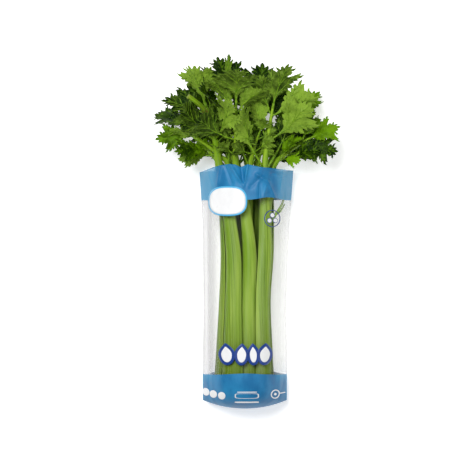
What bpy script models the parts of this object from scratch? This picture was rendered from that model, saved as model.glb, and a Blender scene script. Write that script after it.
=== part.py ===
"""A head of celery in a loose film sleeve, lying on its back.

Metres, +Z up, +Y from the cut butt to the leaf tips. The origin is in the flat underside of
the sleeve, where the part rests. The stalks stand round the head's axis in two rings and a
heart, each about two fifths of a turn on from the last, and each ends in one compound leaf.
"""

import itertools
import math
import random

import bmesh
import bpy
from mathutils import Matrix, Vector
from mathutils.bvhtree import BVHTree
from mathutils.geometry import delaunay_2d_cdt

MM = 0.001

# The head
AXIS_Z = 41.2 * MM
AXIS_LEAN = 3 * MM
BUTT_Y = -147 * MM
BUTT_DEPTH = 9 * MM
BUTT_RADIUS = 31 * MM
BUTT_DRAW_IN = 0.86
GAP = 0.3 * MM
STALK_Y = BUTT_Y + BUTT_DEPTH + GAP

# The sleeve
SLEEVE_BOTTOM_Y = -160 * MM
SLEEVE_BOTTOM_ARC = 10 * MM
SLEEVE_MOUTH_Y = 155 * MM
SLEEVE_MOUTH_ARC = 6 * MM
SLEEVE_BLUNT_END = 46 * MM
SLEEVE_MOUTH_WIDTH = 124 * MM
SLEEVE_WAIST_WIDTH = 109 * MM
SLEEVE_BOTTOM_WIDTH = 111 * MM
SLEEVE_TOP_Z = 82 * MM
SLEEVE_CREASE_Z = 21 * MM
SLEEVE_SEAL = 1.2 * MM
SLEEVE_FLAT_SHARE = 0.52
FILM = 0.6 * MM
TOP_BAND = 39 * MM
BOTTOM_BAND = 31 * MM
FILM_COLUMNS = 16
FILM_ROWS = 16
FILM_SHOULDER = 3.0

# The leaves
BLADE = 0.7 * MM
CLEAR_BLADE = 1.8 * MM
STEM_ROOM = 2.1 * MM
LOWEST_BLADE_Z = 1.6 * MM
DEEPEST = -4 * MM
NODE_SHARES = (-0.04, 0.24, 0.48)
NODE_ANGLES = (27.0, 50.0, 45.0)
PETIOLULE_SHARES = (0.22, 0.08, 0.02)
LEAFLET_SHARES = (0.43, 0.43, 0.40)
TERMINAL_SHARE = 0.42
TILTS = (0, 12, -12, 24, -24, 38, -38, 54, -54)
SWINGS = (0, 14, -14, 28)
SIZES = (1.0, 0.88, 0.76, 0.64, 0.54)

# One half of a leaflet's outline, across and along, as shares of its length
LEAFLET_HALF = (
    (0.025, 0.00),
    (0.09, 0.22),
    (0.36, 0.46),
    (0.25, 0.51),
    (0.46, 0.80),
    (0.10, 0.56),
    (0.24, 0.89),
    (0.10, 0.84),
)
MIDRIB = (0.16, 0.42, 0.70)
MIDRIB_RISE = 0.9 * MM


class Stalk:
    """One stalk's place in the head, where it leaves the sleeve, and where its leaf's tip is.

    foot is its angle round the axis, its radius at the butt and at the waist, and its width
    there as a share of the widest. face is the way the back of its leaf is turned. pairs says
    which pairs of leaflets it has, counted from the lowest place for one.
    """

    def __init__(self, index, foot, mouth, tip, face, pairs, size):
        self.index = index
        self.angle = math.radians(foot[0])
        self.base, self.ring = foot[1] * MM, foot[2] * MM
        self.slim = foot[3:5]
        self.face = math.radians(face)
        self.mouth = Vector((mouth[0], SLEEVE_MOUTH_Y / MM, mouth[1])) * MM
        self.tip = Vector(tip) * MM
        self.pairs = pairs
        self.size = size
        self.turn = (self.face - self.angle + math.pi) % (2 * math.pi) - math.pi
        self.path = Path(self.way())

    def around(self, radius, y):
        """A point at this radius from the head's axis, on this stalk's side."""
        return Vector((radius * math.cos(self.angle), y, AXIS_Z + radius * math.sin(self.angle)))

    def way(self):
        """The points that the stalk's back runs through, from the butt to the leaf's tip."""
        rise = self.tip - self.mouth
        bow = self.mouth + Vector((0.2 * rise.x, 0.5 * rise.y, 0.25 * rise.z))
        points = [
            self.around(self.base * BUTT_DRAW_IN, STALK_Y),
            self.around(self.base, STALK_Y + 13 * MM),
            self.around(0.7 * self.base + 0.3 * self.ring, -90 * MM),
            self.around(self.ring, -20 * MM),
        ]
        for y, share in ((40 * MM, 0.12), (100 * MM, 0.45)):
            point = self.around(self.ring, y).lerp(self.mouth, share)
            points.append(Vector((point.x + AXIS_LEAN * (1 - share), y, point.z)))
        points.append(self.mouth)
        for share in (0.25, 0.5, 0.75, 1.0):
            near = self.mouth.lerp(bow, share)
            points.append(near.lerp(bow.lerp(self.tip, share), share))
        return points

    def outward(self, distance, tangent):
        """The way the stalk's back faces, at right angles to its run. It turns above the waist."""
        share = smooth((distance - 0.35 * self.crown) / (0.65 * self.crown))
        angle = self.angle + self.turn * share
        out = Vector((math.cos(angle), 0, math.sin(angle)))
        return (out - tangent * out.dot(tangent)).normalized()

    @property
    def crown(self):
        """The distance along the path at which the stalk passes the sleeve's mouth."""
        return self.path.distance_at_y(SLEEVE_MOUTH_Y)


class Path:
    """A smooth curve through points, measured by its length."""

    STEPS = 14

    def __init__(self, points):
        self.points = catmull_rom(points, self.STEPS)
        self.distances = [0.0]
        for a, b in zip(self.points, self.points[1:]):
            self.distances.append(self.distances[-1] + (b - a).length)
        self.length = self.distances[-1]

    def at(self, distance):
        """The point and the tangent at a distance from the start."""
        distance = min(max(distance, 0.0), self.length)
        i = 0
        while i < len(self.points) - 2 and self.distances[i + 1] < distance:
            i += 1
        span = self.distances[i + 1] - self.distances[i]
        share = (distance - self.distances[i]) / span
        a, b = self.points[i], self.points[i + 1]
        before = self.points[max(i - 1, 0)]
        after = self.points[min(i + 2, len(self.points) - 1)]
        tangent = (b - before).normalized().lerp((after - a).normalized(), share)
        return a.lerp(b, share), tangent.normalized()

    def distance_at_y(self, y):
        for i, point in enumerate(self.points):
            if point.y >= y:
                return self.distances[i]
        return self.length


def catmull_rom(points, steps):
    ends = [points[0] * 2 - points[1], *points, points[-1] * 2 - points[-2]]
    curve = []
    for a, b, c, d in zip(ends, ends[1:], ends[2:], ends[3:]):
        for k in range(steps):
            t = k / steps
            curve.append(
                0.5 * (2 * b + (c - a) * t + (2 * a - 5 * b + 4 * c - d) * t * t
                       + (3 * b - a - 3 * c + d) * t ** 3)
            )
    curve.append(points[-1].copy())
    return curve


def smooth(x):
    x = min(max(x, 0.0), 1.0)
    return x * x * (3 - 2 * x)


def between(x, stops):
    """The value at x of a line through (place, value) stops."""
    for (a, low), (b, high) in zip(stops, stops[1:]):
        if x <= b:
            return low + (high - low) * max(0.0, (x - a) / (b - a))
    return stops[-1][1]


def clear_scene():
    for thing in list(bpy.data.objects):
        bpy.data.objects.remove(thing, do_unlink=True)


def material(name, colour, roughness, alpha=1.0):
    made = bpy.data.materials.new(name)
    made.use_nodes = True
    made.diffuse_color = (*colour, alpha)
    shader = made.node_tree.nodes["Principled BSDF"]
    shader.inputs["Base Color"].default_value = (*colour, 1.0)
    shader.inputs["Roughness"].default_value = roughness
    shader.inputs["Metallic"].default_value = 0.0
    shader.inputs["Alpha"].default_value = alpha
    return made


def mesh_object(name, mesh, collection, finish=None):
    made = bpy.data.objects.new(name, mesh)
    collection.objects.link(made)
    if finish:
        mesh.materials.clear()
        mesh.materials.append(finish)
    return made


def mesh_from(name, points, faces):
    mesh = bpy.data.meshes.new(name)
    mesh.from_pydata([tuple(p) for p in points], [], faces)
    mesh.validate()
    return mesh


def facing_out(mesh):
    """Turns the faces of a closed mesh outwards."""
    work = bmesh.new()
    work.from_mesh(mesh)
    bmesh.ops.remove_doubles(work, verts=work.verts, dist=0.00001)
    bmesh.ops.recalc_face_normals(work, faces=work.faces)
    work.to_mesh(mesh)
    work.free()
    return mesh


# Stalks

def stalk_width(stalk, share):
    """The stalk's width at a share of the way from the butt to its first leaflets."""
    widths = ((0, 36), (0.05, 40.5), (0.1, 40), (0.25, 33), (0.4, 28), (0.65, 24), (0.85, 18), (1, 12))
    low, high = stalk.slim
    return between(share, widths) * MM * between(share, ((0, low), (0.45, high), (0.8, high), (1, 1)))


def stalk_section(stalk, distance, end, ribs, inner):
    """A crescent across the stalk: a ribbed back, and a hollow face towards the head's axis."""
    share = distance / end
    point, tangent = stalk.path.at(distance)
    out = stalk.outward(distance, tangent)
    side = tangent.cross(out)
    width = stalk_width(stalk, share)
    half = math.radians(between(share, ((0, 50), (0.2, 60), (0.6, 72), (1, 88))))
    radius = width / 2 / math.sin(half)
    thick = between(share, ((0, 7.5), (0.3, 6.5), (1, 5.5))) * MM * stalk.size
    thick = min(thick, 0.78 * radius)
    rib = between(share, ((0, 0.35), (0.1, 0.6), (0.9, 0.5), (1, 0.35))) * MM
    section = []
    back = 2 * ribs
    for k in range(back + 1):
        angle = half * (1 - 2 * k / back)
        deep = radius - (rib if k % 2 == 0 and 0 < k < back else 0)
        section.append(point + side * (deep * math.sin(angle)) + out * (deep * math.cos(angle) - radius))
    for k in range(inner):
        angle = half * 0.97 * (2 * k / (inner - 1) - 1)
        deep = radius - thick * (1 - 0.62 * (angle / half) ** 2)
        section.append(point + side * (deep * math.sin(angle)) + out * (deep * math.cos(angle) - radius))
    return section


def stalk_end(stalk):
    """How far up its path the stalk runs, to just below its first leaflets."""
    leaf = stalk.path.length - stalk.crown
    return stalk.crown + NODE_SHARES[0] * leaf - 3 * MM


def stalk_mesh(stalk):
    shares = (0, 0.05, 0.12, 0.22, 0.35, 0.5, 0.65, 0.8, 0.91, 1)
    end = stalk_end(stalk) - GAP
    rings = [stalk_section(stalk, end * share, end, 5, 5) for share in shares]
    return facing_out(loft(f"stalk_{stalk.index + 1}", rings))


def loft(name, rings):
    """A closed solid through rings of equal count, capped at both ends."""
    count = len(rings[0])
    points = [p for ring in rings for p in ring]
    faces = []
    for row in range(len(rings) - 1):
        for k in range(count):
            a, b = row * count + k, row * count + (k + 1) % count
            faces.append((a, b, b + count, a + count))
    faces.append(tuple(reversed(range(count))))
    faces.append(tuple(range((len(rings) - 1) * count, len(rings) * count)))
    return mesh_from(name, points, faces)


def butt_mesh():
    """The root crown that the stalks grow from, cut flat."""
    work = bmesh.new()
    place = Matrix.Translation((0, BUTT_Y + BUTT_DEPTH / 2, AXIS_Z))
    bmesh.ops.create_cone(
        work, cap_ends=True, segments=24, radius1=BUTT_RADIUS - 4 * MM, radius2=BUTT_RADIUS + 2 * MM,
        depth=BUTT_DEPTH, matrix=place @ Matrix.Rotation(-math.pi / 2, 4, "X"),
    )
    mesh = bpy.data.meshes.new("butt")
    work.to_mesh(mesh)
    work.free()
    return mesh


# The sleeve

def film_width(y):
    """Half the sleeve's width across its creases."""
    stops = (
        (SLEEVE_BOTTOM_Y, SLEEVE_BOTTOM_WIDTH), (-0.12, SLEEVE_BOTTOM_WIDTH), (-0.02, SLEEVE_WAIST_WIDTH),
        (0.08, SLEEVE_WAIST_WIDTH + 5 * MM), (SLEEVE_MOUTH_Y, SLEEVE_MOUTH_WIDTH),
    )
    return between(y, stops) / 2


def film_point(across, along, front):
    """A point of the film: across from -1 to 1 between the creases, along from the bottom to the mouth."""
    edge = abs(across)
    bottom = SLEEVE_BOTTOM_Y + SLEEVE_BOTTOM_ARC * edge ** 2
    mouth = SLEEVE_MOUTH_Y - SLEEVE_MOUTH_ARC * edge ** 2
    mouth += 1.6 * MM * math.sin(5.2 * across + 0.6) * (1 if front else 0.5)
    y = bottom + (mouth - bottom) * along
    full = 1 - max(0.0, 1 - (y - bottom) / SLEEVE_BLUNT_END) ** 2.6
    full = full ** (1 / 2.6)
    x = across * film_width(y) + 2 * MM * smooth((y + 0.02) / 0.16)
    crease = SLEEVE_CREASE_Z - 5 * MM * (1 - full)
    seal = SLEEVE_SEAL * min(1.0, (1 - edge) / 0.014)
    if front:
        bulge = (1 - edge ** FILM_SHOULDER) * full
        fold = 1.8 * MM * math.sin(13 * across + 9 * y / 0.3) * edge * (1 - edge ** 6) * full
        return Vector((x, y, crease + seal + (SLEEVE_TOP_Z - crease) * bulge + fold))
    lie = smooth((edge - SLEEVE_FLAT_SHARE) / (1 - SLEEVE_FLAT_SHARE)) * full + (1 - full)
    return Vector((x, y, max(0.0, (crease - seal) * lie)))


def film_rings(columns, rows):
    """Rings of the film from the mouth to the bottom. Rows fall on the printed bands' edges."""
    length = SLEEVE_MOUTH_Y - SLEEVE_BOTTOM_Y
    low, high = BOTTOM_BAND / length, 1 - TOP_BAND / length
    alongs = [1 - (1 - high) * k / 3 for k in range(3)]
    middle = rows - 9
    alongs += [high - (high - low) * k / middle for k in range(middle)]
    alongs += [low * (1 - k / 6) ** 1.6 for k in range(7)]
    rings = []
    for along in alongs:
        acrosses = [-math.cos(math.pi * k / columns) for k in range(columns + 1)]
        ring = [film_point(a, along, True) for a in acrosses]
        ring += [film_point(a, along, False) for a in reversed(acrosses[1:-1])]
        rings.append(ring)
    return rings


def sleeve_mesh():
    """The film as an open surface: a flattened tube, closed along its bottom."""
    rings = film_rings(FILM_COLUMNS, FILM_ROWS)
    count = len(rings[0])
    points = [p for ring in rings for p in ring]
    faces = []
    for row in range(len(rings) - 1):
        for k in range(count):
            a, b = row * count + k, row * count + (k + 1) % count
            faces.append((a, a + count, b + count, b))
    last = (len(rings) - 1) * count
    for k in range(FILM_COLUMNS):
        front, back = last + k, last + (count - k) % count
        ahead, behind = last + k + 1, last + (count - k - 1) % count
        corners = []
        for corner in (front, back, behind, ahead):
            if corner not in corners:
                corners.append(corner)
        faces.append(tuple(corners))
    return mesh_from("sleeve", points, faces), 3 * count, (FILM_ROWS - 6) * count


def sleeve(collection, film, ink):
    mesh, top_faces, low_faces = sleeve_mesh()
    made = mesh_object("sleeve", mesh, collection, film)
    mesh.materials.append(ink)
    for k, face in enumerate(mesh.polygons):
        face.material_index = 1 if k < top_faces or k >= low_faces else 0
        face.use_smooth = True
    wall = made.modifiers.new("film", "SOLIDIFY")
    wall.thickness = FILM
    wall.offset = -1
    return made


# Leaves

class Leaflet:
    """One lobed leaflet: its base, its run, its upper side and how it is curved."""

    def __init__(self, base, run, upper, length, draw):
        self.base = base
        self.run = run.normalized()
        self.upper = (upper - self.run * upper.dot(self.run)).normalized()
        self.side = self.run.cross(self.upper)
        self.length = length
        self.droop = draw.uniform(0.25, 1.1)
        self.fold = draw.uniform(0.10, 0.62)
        self.wave = draw.uniform(0.04, 0.10)
        self.phase = draw.uniform(0, 2 * math.pi)
        self.lean = draw.uniform(-0.10, 0.10)
        self.wide = draw.uniform(0.86, 1.08)

    def at(self, across, along):
        """The point of the leaflet's middle surface at shares of its length across and along."""
        return above_ground(self.free(across, along))

    def free(self, across, along):
        """The same where there is no ground."""
        across = across * self.wide + self.lean * along * along
        bend = self.droop * along
        forward = math.sin(bend) / self.droop
        down = (1 - math.cos(bend)) / self.droop
        edge = abs(across)
        ripple = self.wave * math.sin(8.5 * along + self.phase + (1.7 if across > 0 else 0)) * edge * 2
        lift = self.fold * edge - 0.35 * edge * edge + ripple - down
        return self.base + self.length * (
            self.run * forward + self.side * across * (1 - 0.2 * self.fold) + self.upper * lift
        )

    def sinks(self):
        """Whether it would lie so deep in the ground that pressing it flat would crumple it."""
        return any(self.free(side * x, y).z < DEEPEST for x, y in LEAFLET_HALF for side in (-1, 1))


def above_ground(point):
    """A blade that would sink below the surface it lies on is pressed flat on it."""
    soft = 4 * MM
    low = LOWEST_BLADE_Z
    if point.z < low + soft:
        point.z = low + soft * math.exp((point.z - low - soft) / soft)
    return point


def leaflet_surface(leaflet):
    """The outline filled with triangles that meet the midrib, as points and faces."""
    left = [(-x, y) for x, y in LEAFLET_HALF]
    outline = list(LEAFLET_HALF) + [(0.0, 1.0)] + left[::-1]
    flat = [Vector(p) for p in outline] + [Vector((0, y)) for y in MIDRIB]
    made = delaunay_2d_cdt(flat, [], [list(range(len(outline)))], 1, 1e-6)
    ribs = [MIDRIB_RISE * (1 - p.y) if abs(p.x) < 1e-5 and 0 < p.y < 1 else 0 for p in made[0]]
    return [leaflet.at(p.x, p.y) for p in made[0]], [tuple(f) for f in made[2]], ribs


def thickened(points, faces, ribs, thick):
    """Both faces of a blade, split alike, its edge all round, and its midrib on the under side."""
    normals = [Vector() for _ in points]
    for face in faces:
        a, b, c = (points[k] for k in face)
        normal = (b - a).cross(c - a)
        for k in face:
            normals[k] += normal
    offset = [n.normalized() * (thick / 2) for n in normals]
    count = len(points)
    solid = [p + o for p, o in zip(points, offset)]
    solid += [p - o - o.normalized() * rib for p, o, rib in zip(points, offset, ribs)]
    both = [tuple(f) for f in faces] + [tuple(count + k for k in reversed(f)) for f in faces]
    edges = {(f[k], f[(k + 1) % 3]) for f in faces for k in range(3)}
    for a, b in edges:
        if (b, a) not in edges:
            both.append((b, a, count + a))
            both.append((b, count + a, count + b))
    return solid, both


def tree_of(points, faces):
    return BVHTree.FromPolygons([tuple(p) for p in points], faces)


def tube(name, points, radii, sides, collection):
    """A tapering stem along points, as a welded mesh made from a curve with a round bevel."""
    curve = bpy.data.curves.new(name, "CURVE")
    curve.dimensions = "3D"
    curve.bevel_depth = 1.0
    curve.bevel_resolution = {4: 0, 6: 1, 8: 2}[sides]
    curve.use_fill_caps = True
    spline = curve.splines.new("POLY")
    spline.points.add(len(points) - 1)
    for place, point, radius in zip(spline.points, points, radii):
        place.co = (*point, 1)
        place.radius = radius
    guide = bpy.data.objects.new(name, curve)
    collection.objects.link(guide)
    bpy.context.view_layer.update()
    graph = bpy.context.evaluated_depsgraph_get()
    mesh = bpy.data.meshes.new_from_object(guide.evaluated_get(graph))
    bpy.data.objects.remove(guide)
    return mesh_object(name, facing_out(mesh), collection)


def fused(name, first, others, collection, finish):
    """One body from overlapping solids. The solids joined to the first are then removed."""
    union = first.modifiers.new("union", "BOOLEAN")
    union.operation = "UNION"
    union.operand_type = "COLLECTION"
    union.collection = others
    union.solver = "EXACT"
    bpy.context.view_layer.update()
    graph = bpy.context.evaluated_depsgraph_get()
    mesh = bpy.data.meshes.new_from_object(first.evaluated_get(graph))
    for thing in [first, *others.objects]:
        bpy.data.objects.remove(thing)
    bpy.data.collections.remove(others)
    return mesh_object(name, mesh, collection, finish)


class Leaf:
    """The compound leaf at a stalk's end: a rachis, pairs of leaflets and one at the tip."""

    def __init__(self, stalk):
        self.stalk = stalk
        self.draw = random.Random(40 + stalk.index)
        self.length = stalk.path.length - stalk.crown
        self.start = stalk_end(stalk)
        self.terminal = stalk.path.length - TERMINAL_SHARE * self.length
        self.rachis = None
        self.leaflets = []
        self.blades = []
        self.stems = []

    def frame(self, distance):
        """The point, the run and the upper side, which faces the head's axis, of the rachis."""
        point, run = self.stalk.path.at(distance)
        out = self.stalk.outward(distance, run)
        return point - out * 4 * MM * self.stalk.size, run, -out

    def rachis_radius(self, distance):
        share = (distance - self.start) / (self.terminal - self.start)
        return between(share, ((0, 5.2), (0.12, 4.4), (0.5, 3.0), (1, 1.7))) * MM * self.stalk.size

    def leaflet_at(self, pair, side, tilt, swing, size, wobble):
        """A leaflet of a pair, or the tip's when pair is None, with its stem's start."""
        if pair is None:
            base, run, upper = self.frame(self.terminal)
            stem = base - run * 4 * MM
            length = TERMINAL_SHARE * self.length * size
            run = Matrix.Rotation(math.radians(tilt), 3, run.cross(upper)) @ run
            run = Matrix.Rotation(math.radians(swing), 3, upper) @ run
            return stem, Leaflet(base, run, upper, length, random.Random(wobble))
        stem, run, upper = self.frame(self.stalk.crown + NODE_SHARES[pair] * self.length)
        draw = random.Random(wobble)
        angle = math.radians(NODE_ANGLES[pair] + draw.uniform(-9, 9) + swing)
        across = run.cross(upper) * side
        way = run * math.cos(angle) + across * math.sin(angle)
        way = Matrix.Rotation(math.radians(tilt) * side, 3, run) @ way
        upper = Matrix.Rotation(math.radians(tilt + draw.uniform(-14, 14)) * side, 3, run) @ upper
        reach = PETIOLULE_SHARES[pair] * self.length + 3 * MM
        base = stem + way * reach
        length = LEAFLET_SHARES[pair] * self.length * size * draw.uniform(0.9, 1.1)
        return stem, Leaflet(base, way + run * 0.35, upper, length, draw)

    def settle(self, pair, side, taken):
        """Grows one leaflet, bent and if need be made smaller until it is clear of the others."""
        wobble = self.draw.randrange(10000)
        for size, tilt, swing in itertools.product(SIZES, TILTS, SWINGS):
            stem, leaflet = self.leaflet_at(pair, side, tilt, swing, size, wobble)
            if leaflet.sinks():
                continue
            surface = leaflet_surface(leaflet)
            trial = tree_of(*thickened(*surface, CLEAR_BLADE))
            stem_tree = tree_of(*box_along(stem, leaflet.base, STEM_ROOM))
            if any(trial.overlap(tree) for tree in (*taken, *self.blades)):
                continue
            if any(stem_tree.overlap(tree) for tree in taken):
                continue
            self.leaflets.append((pair, stem, leaflet, surface))
            self.blades.append(tree_of(*thickened(*surface, BLADE)))
            self.stems.append(stem_tree)
            return
        print(f"leaf_{self.stalk.index + 1} has no room for leaflet {pair} {side}")


def box_along(a, b, half):
    """A square bar from a to b, to test a stem with."""
    run = (b - a).normalized()
    side = run.orthogonal().normalized() * half
    up = run.cross(side).normalized() * half
    a = a + run * half
    points = [end + side * x + up * y for end in (a, b) for x, y in ((1, 1), (-1, 1), (-1, -1), (1, -1))]
    faces = [(0, 1, 2, 3), (7, 6, 5, 4), (0, 4, 5, 1), (1, 5, 6, 2), (2, 6, 7, 3), (3, 7, 4, 0)]
    return points, faces


def rachis_tube(grown, collection):
    steps = 5
    distances = [grown.start + (grown.terminal - grown.start) * k / steps for k in range(steps + 1)]
    distances.insert(1, grown.start + 1.5 * MM)
    line = [grown.frame(d)[0] for d in distances]
    radii = [grown.rachis_radius(d) for d in distances]
    return tube(f"rachis_{grown.stalk.index + 1}", line, radii, 6, collection)


def settle_leaflets(leaves, solids):
    """Grows every leaf's tip first, then the pairs from the lowest up, front leaves before back."""
    places = [(None, 0)] + [(pair, side) for pair in range(3) for side in (-1, 1)]
    front_first = sorted(leaves, key=lambda grown: -grown.stalk.mouth.z)
    for (pair, side), grown in itertools.product(places, front_first):
        if pair is not None and pair not in range(*grown.stalk.pairs):
            continue
        taken = [tree for name, tree in solids.items() if name != grown.rachis.name]
        for other in leaves:
            if other is not grown:
                taken += other.blades + other.stems
        grown.settle(pair, side, taken)


def leaf(grown, collection, finish):
    """One body of the rachis, the leaflets and their stems."""
    stalk = grown.stalk
    name = f"leaf_{stalk.index + 1}"
    parts = bpy.data.collections.new(name + "_parts")
    bpy.context.scene.collection.children.link(parts)
    for pair, stem, leaflet, surface in grown.leaflets:
        blade = facing_out(mesh_from("blade", *thickened(*surface, BLADE)))
        mesh_object("blade", blade, parts)
        thick = (1.9 if pair is None else (1.8, 1.5, 1.3)[pair]) * MM * stalk.size
        tube("petiolule", [stem, leaflet.at(0, 0.05)], [thick, 0.7 * thick], 4, parts)
    return fused(name, grown.rachis, parts, collection, finish)


def build():
    clear_scene()
    head = bpy.data.collections.new("celery")
    bpy.context.scene.collection.children.link(head)
    stalk_green = material("stalk_green", (0.33, 0.48, 0.09), 0.45)
    leaf_green = material("leaf_green", (0.09, 0.24, 0.03), 0.5)
    butt_pale = material("butt_pale", (0.62, 0.66, 0.38), 0.6)
    film = material("clear_film", (0.93, 0.94, 0.95), 0.2, 0.25)
    ink = material("blue_ink", (0.03, 0.2, 0.48), 0.35, 0.9)
    # Foot, mouth across and up, tip across, along and up, all in mm, then the way it is turned
    stalks = [
        Stalk(0, (121, 40, 37.5, 0.80, 0.90), (-35, 58), (-74, 288, 98), 112, (1, 3), 1.2),
        Stalk(1, (259, 40, 37, 1.0, 1.0), (4, 11), (26, 296, 10), 272, (0, 3), 1.0),
        Stalk(2, (42, 40, 37.5, 0.70, 0.90), (27, 61), (50, 288, 100), 72, (0, 3), 1.0),
        Stalk(3, (184, 40, 34, 1.0, 0.92), (-36, 35), (-120, 232, 44), 208, (0, 3), 1.0),
        Stalk(4, (331, 40, 36.5, 0.95, 1.0), (35, 22), (100, 258, 18), 305, (0, 3), 1.0),
        Stalk(5, (78, 34, 31, 0.60, 0.76), (-12, 63), (-12, 290, 122), 95, (1, 3), 1.0),
        Stalk(6, (223, 29.5, 25, 0.74, 0.78), (-19, 21), (-32, 306, 44), 260, (0, 3), 0.95),
        Stalk(7, (7, 29.5, 27, 0.74, 0.80), (40, 43), (122, 208, 66), 335, (0, 3), 0.95),
        Stalk(8, (148, 29.5, 25, 0.70, 0.74), (-24, 46), (-98, 206, 66), 150, (0, 2), 0.9),
        Stalk(9, (294, 29.5, 25, 0.74, 0.78), (16, 30), (56, 258, 60), 280, (0, 2), 0.9),
        Stalk(10, (88, 16, 13, 0.55, 0.62), (7, 53), (30, 222, 86), 80, (0, 2), 0.85),
        Stalk(11, (250, 13, 11, 0.58, 0.66), (-10, 40), (-36, 232, 66), 110, (0, 2), 0.85),
    ]
    sleeve(head, film, ink)
    mesh_object("butt", butt_mesh(), head, butt_pale)
    for stalk in stalks:
        mesh_object(f"stalk_{stalk.index + 1}", stalk_mesh(stalk), head, stalk_green)
    leaves = [Leaf(stalk) for stalk in stalks]
    for grown in leaves:
        grown.rachis = rachis_tube(grown, head)
    bpy.context.view_layer.update()
    graph = bpy.context.evaluated_depsgraph_get()
    solids = {thing.name: BVHTree.FromObject(thing, graph) for thing in head.objects}
    settle_leaflets(leaves, solids)
    for grown in leaves:
        leaf(grown, head, leaf_green)


build()
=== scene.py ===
"""The looks of a head of celery in a loose film sleeve with printed bands, seen from above.

Metres, +Z up, +Y from the cut butt to the leaf tips, +X to the right in the photograph. The
stalks' and leaves' places follow the same rules as the solids that they stand for.
"""

import itertools
import math
import random

import bmesh
import bpy
import numpy as np
from mathutils import Matrix, Vector, noise
from mathutils.bvhtree import BVHTree
from mathutils.geometry import delaunay_2d_cdt


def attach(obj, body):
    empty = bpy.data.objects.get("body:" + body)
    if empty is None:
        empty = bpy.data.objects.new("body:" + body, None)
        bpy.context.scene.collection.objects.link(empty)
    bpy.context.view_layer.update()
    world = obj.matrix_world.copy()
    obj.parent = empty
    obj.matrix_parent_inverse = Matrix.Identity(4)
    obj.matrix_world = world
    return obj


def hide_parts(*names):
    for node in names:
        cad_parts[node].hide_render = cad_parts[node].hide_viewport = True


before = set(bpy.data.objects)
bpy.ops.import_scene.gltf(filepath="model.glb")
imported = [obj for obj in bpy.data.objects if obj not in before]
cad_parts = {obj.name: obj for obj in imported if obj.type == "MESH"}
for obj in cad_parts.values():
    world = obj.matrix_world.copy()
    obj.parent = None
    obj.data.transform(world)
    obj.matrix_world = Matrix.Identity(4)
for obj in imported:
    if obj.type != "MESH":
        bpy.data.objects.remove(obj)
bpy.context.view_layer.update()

MM = 0.001
PX = 1.3 * MM
PHOTO_SIZE = 460
PHOTO_ORIGIN = (245, 287)

# The head, as in the solids
AXIS_Z = 41.2 * MM
AXIS_LEAN = 3 * MM
HEAD_MIDDLE_Z = 50 * MM
BUTT_Y = -147 * MM
BUTT_DEPTH = 9 * MM
BUTT_RADIUS = 31 * MM
BUTT_DRAW_IN = 0.86
STALK_Y = BUTT_Y + BUTT_DEPTH + 0.3 * MM

# The sleeve, as in the solids
SLEEVE_BOTTOM_Y = -160 * MM
SLEEVE_BOTTOM_ARC = 10 * MM
SLEEVE_MOUTH_Y = 155 * MM
SLEEVE_MOUTH_ARC = 6 * MM
SLEEVE_BLUNT_END = 46 * MM
SLEEVE_MOUTH_WIDTH = 124 * MM
SLEEVE_WAIST_WIDTH = 109 * MM
SLEEVE_BOTTOM_WIDTH = 111 * MM
SLEEVE_TOP_Z = 82 * MM
SLEEVE_CREASE_Z = 21 * MM
SLEEVE_SEAL = 1.2 * MM
SLEEVE_FLAT_SHARE = 0.52
FILM_SHOULDER = 3.0
FILM_BLUNTNESS = 2.6
FILM = 0.3 * MM
FILM_COLUMNS = 130
LOW_ROWS, CLEAR_ROWS, TOP_ROWS = 24, 70, 26
FILM_ROWS = LOW_ROWS + CLEAR_ROWS + TOP_ROWS

# The leaves, as in the solids
LOWEST_BLADE_Z = 1.6 * MM
NODE_SHARES = (-0.04, 0.24, 0.48)
NODE_ANGLES = (27.0, 50.0, 45.0)
PETIOLULE_SHARES = (0.22, 0.08, 0.02)
LEAFLET_SHARES = (0.43, 0.43, 0.40)
TERMINAL_SHARE = 0.42
TILTS = (0, 12, -12, 24, -24, 38, -38, 54, -54)
SWINGS = (0, 14, -14, 28)
SIZES = (1.0, 0.88, 0.76, 0.64, 0.54)
# Where a leaflet is set against its solid, and from what mean distance the solid has no such leaflet
PLAIN_HALF = (
    (0.09, 0.22), (0.36, 0.46), (0.25, 0.51), (0.46, 0.80), (0.10, 0.56), (0.24, 0.89), (0.10, 0.84),
)
NO_ROOM = 0.9 * MM

# One half of a leaflet's edge, across and along, as shares of its length. Every second point
# from the fourth on is the tip of a tooth or a lobe.
LEAFLET_BASE = ((0.020, 0.0), (0.024, 0.08), (0.042, 0.15))
LEAFLET_TEETH = (
    (0.080, 0.205), (0.170, 0.268), (0.158, 0.300), (0.270, 0.352), (0.240, 0.380), (0.372, 0.455),
    (0.255, 0.500), (0.355, 0.555), (0.300, 0.580), (0.425, 0.660), (0.362, 0.675), (0.475, 0.815),
    (0.375, 0.750), (0.352, 0.822), (0.285, 0.690), (0.262, 0.728), (0.098, 0.555), (0.165, 0.672),
    (0.135, 0.690), (0.205, 0.795), (0.155, 0.805), (0.238, 0.905), (0.120, 0.852), (0.112, 0.955),
    (0.048, 0.892),
)
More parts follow.
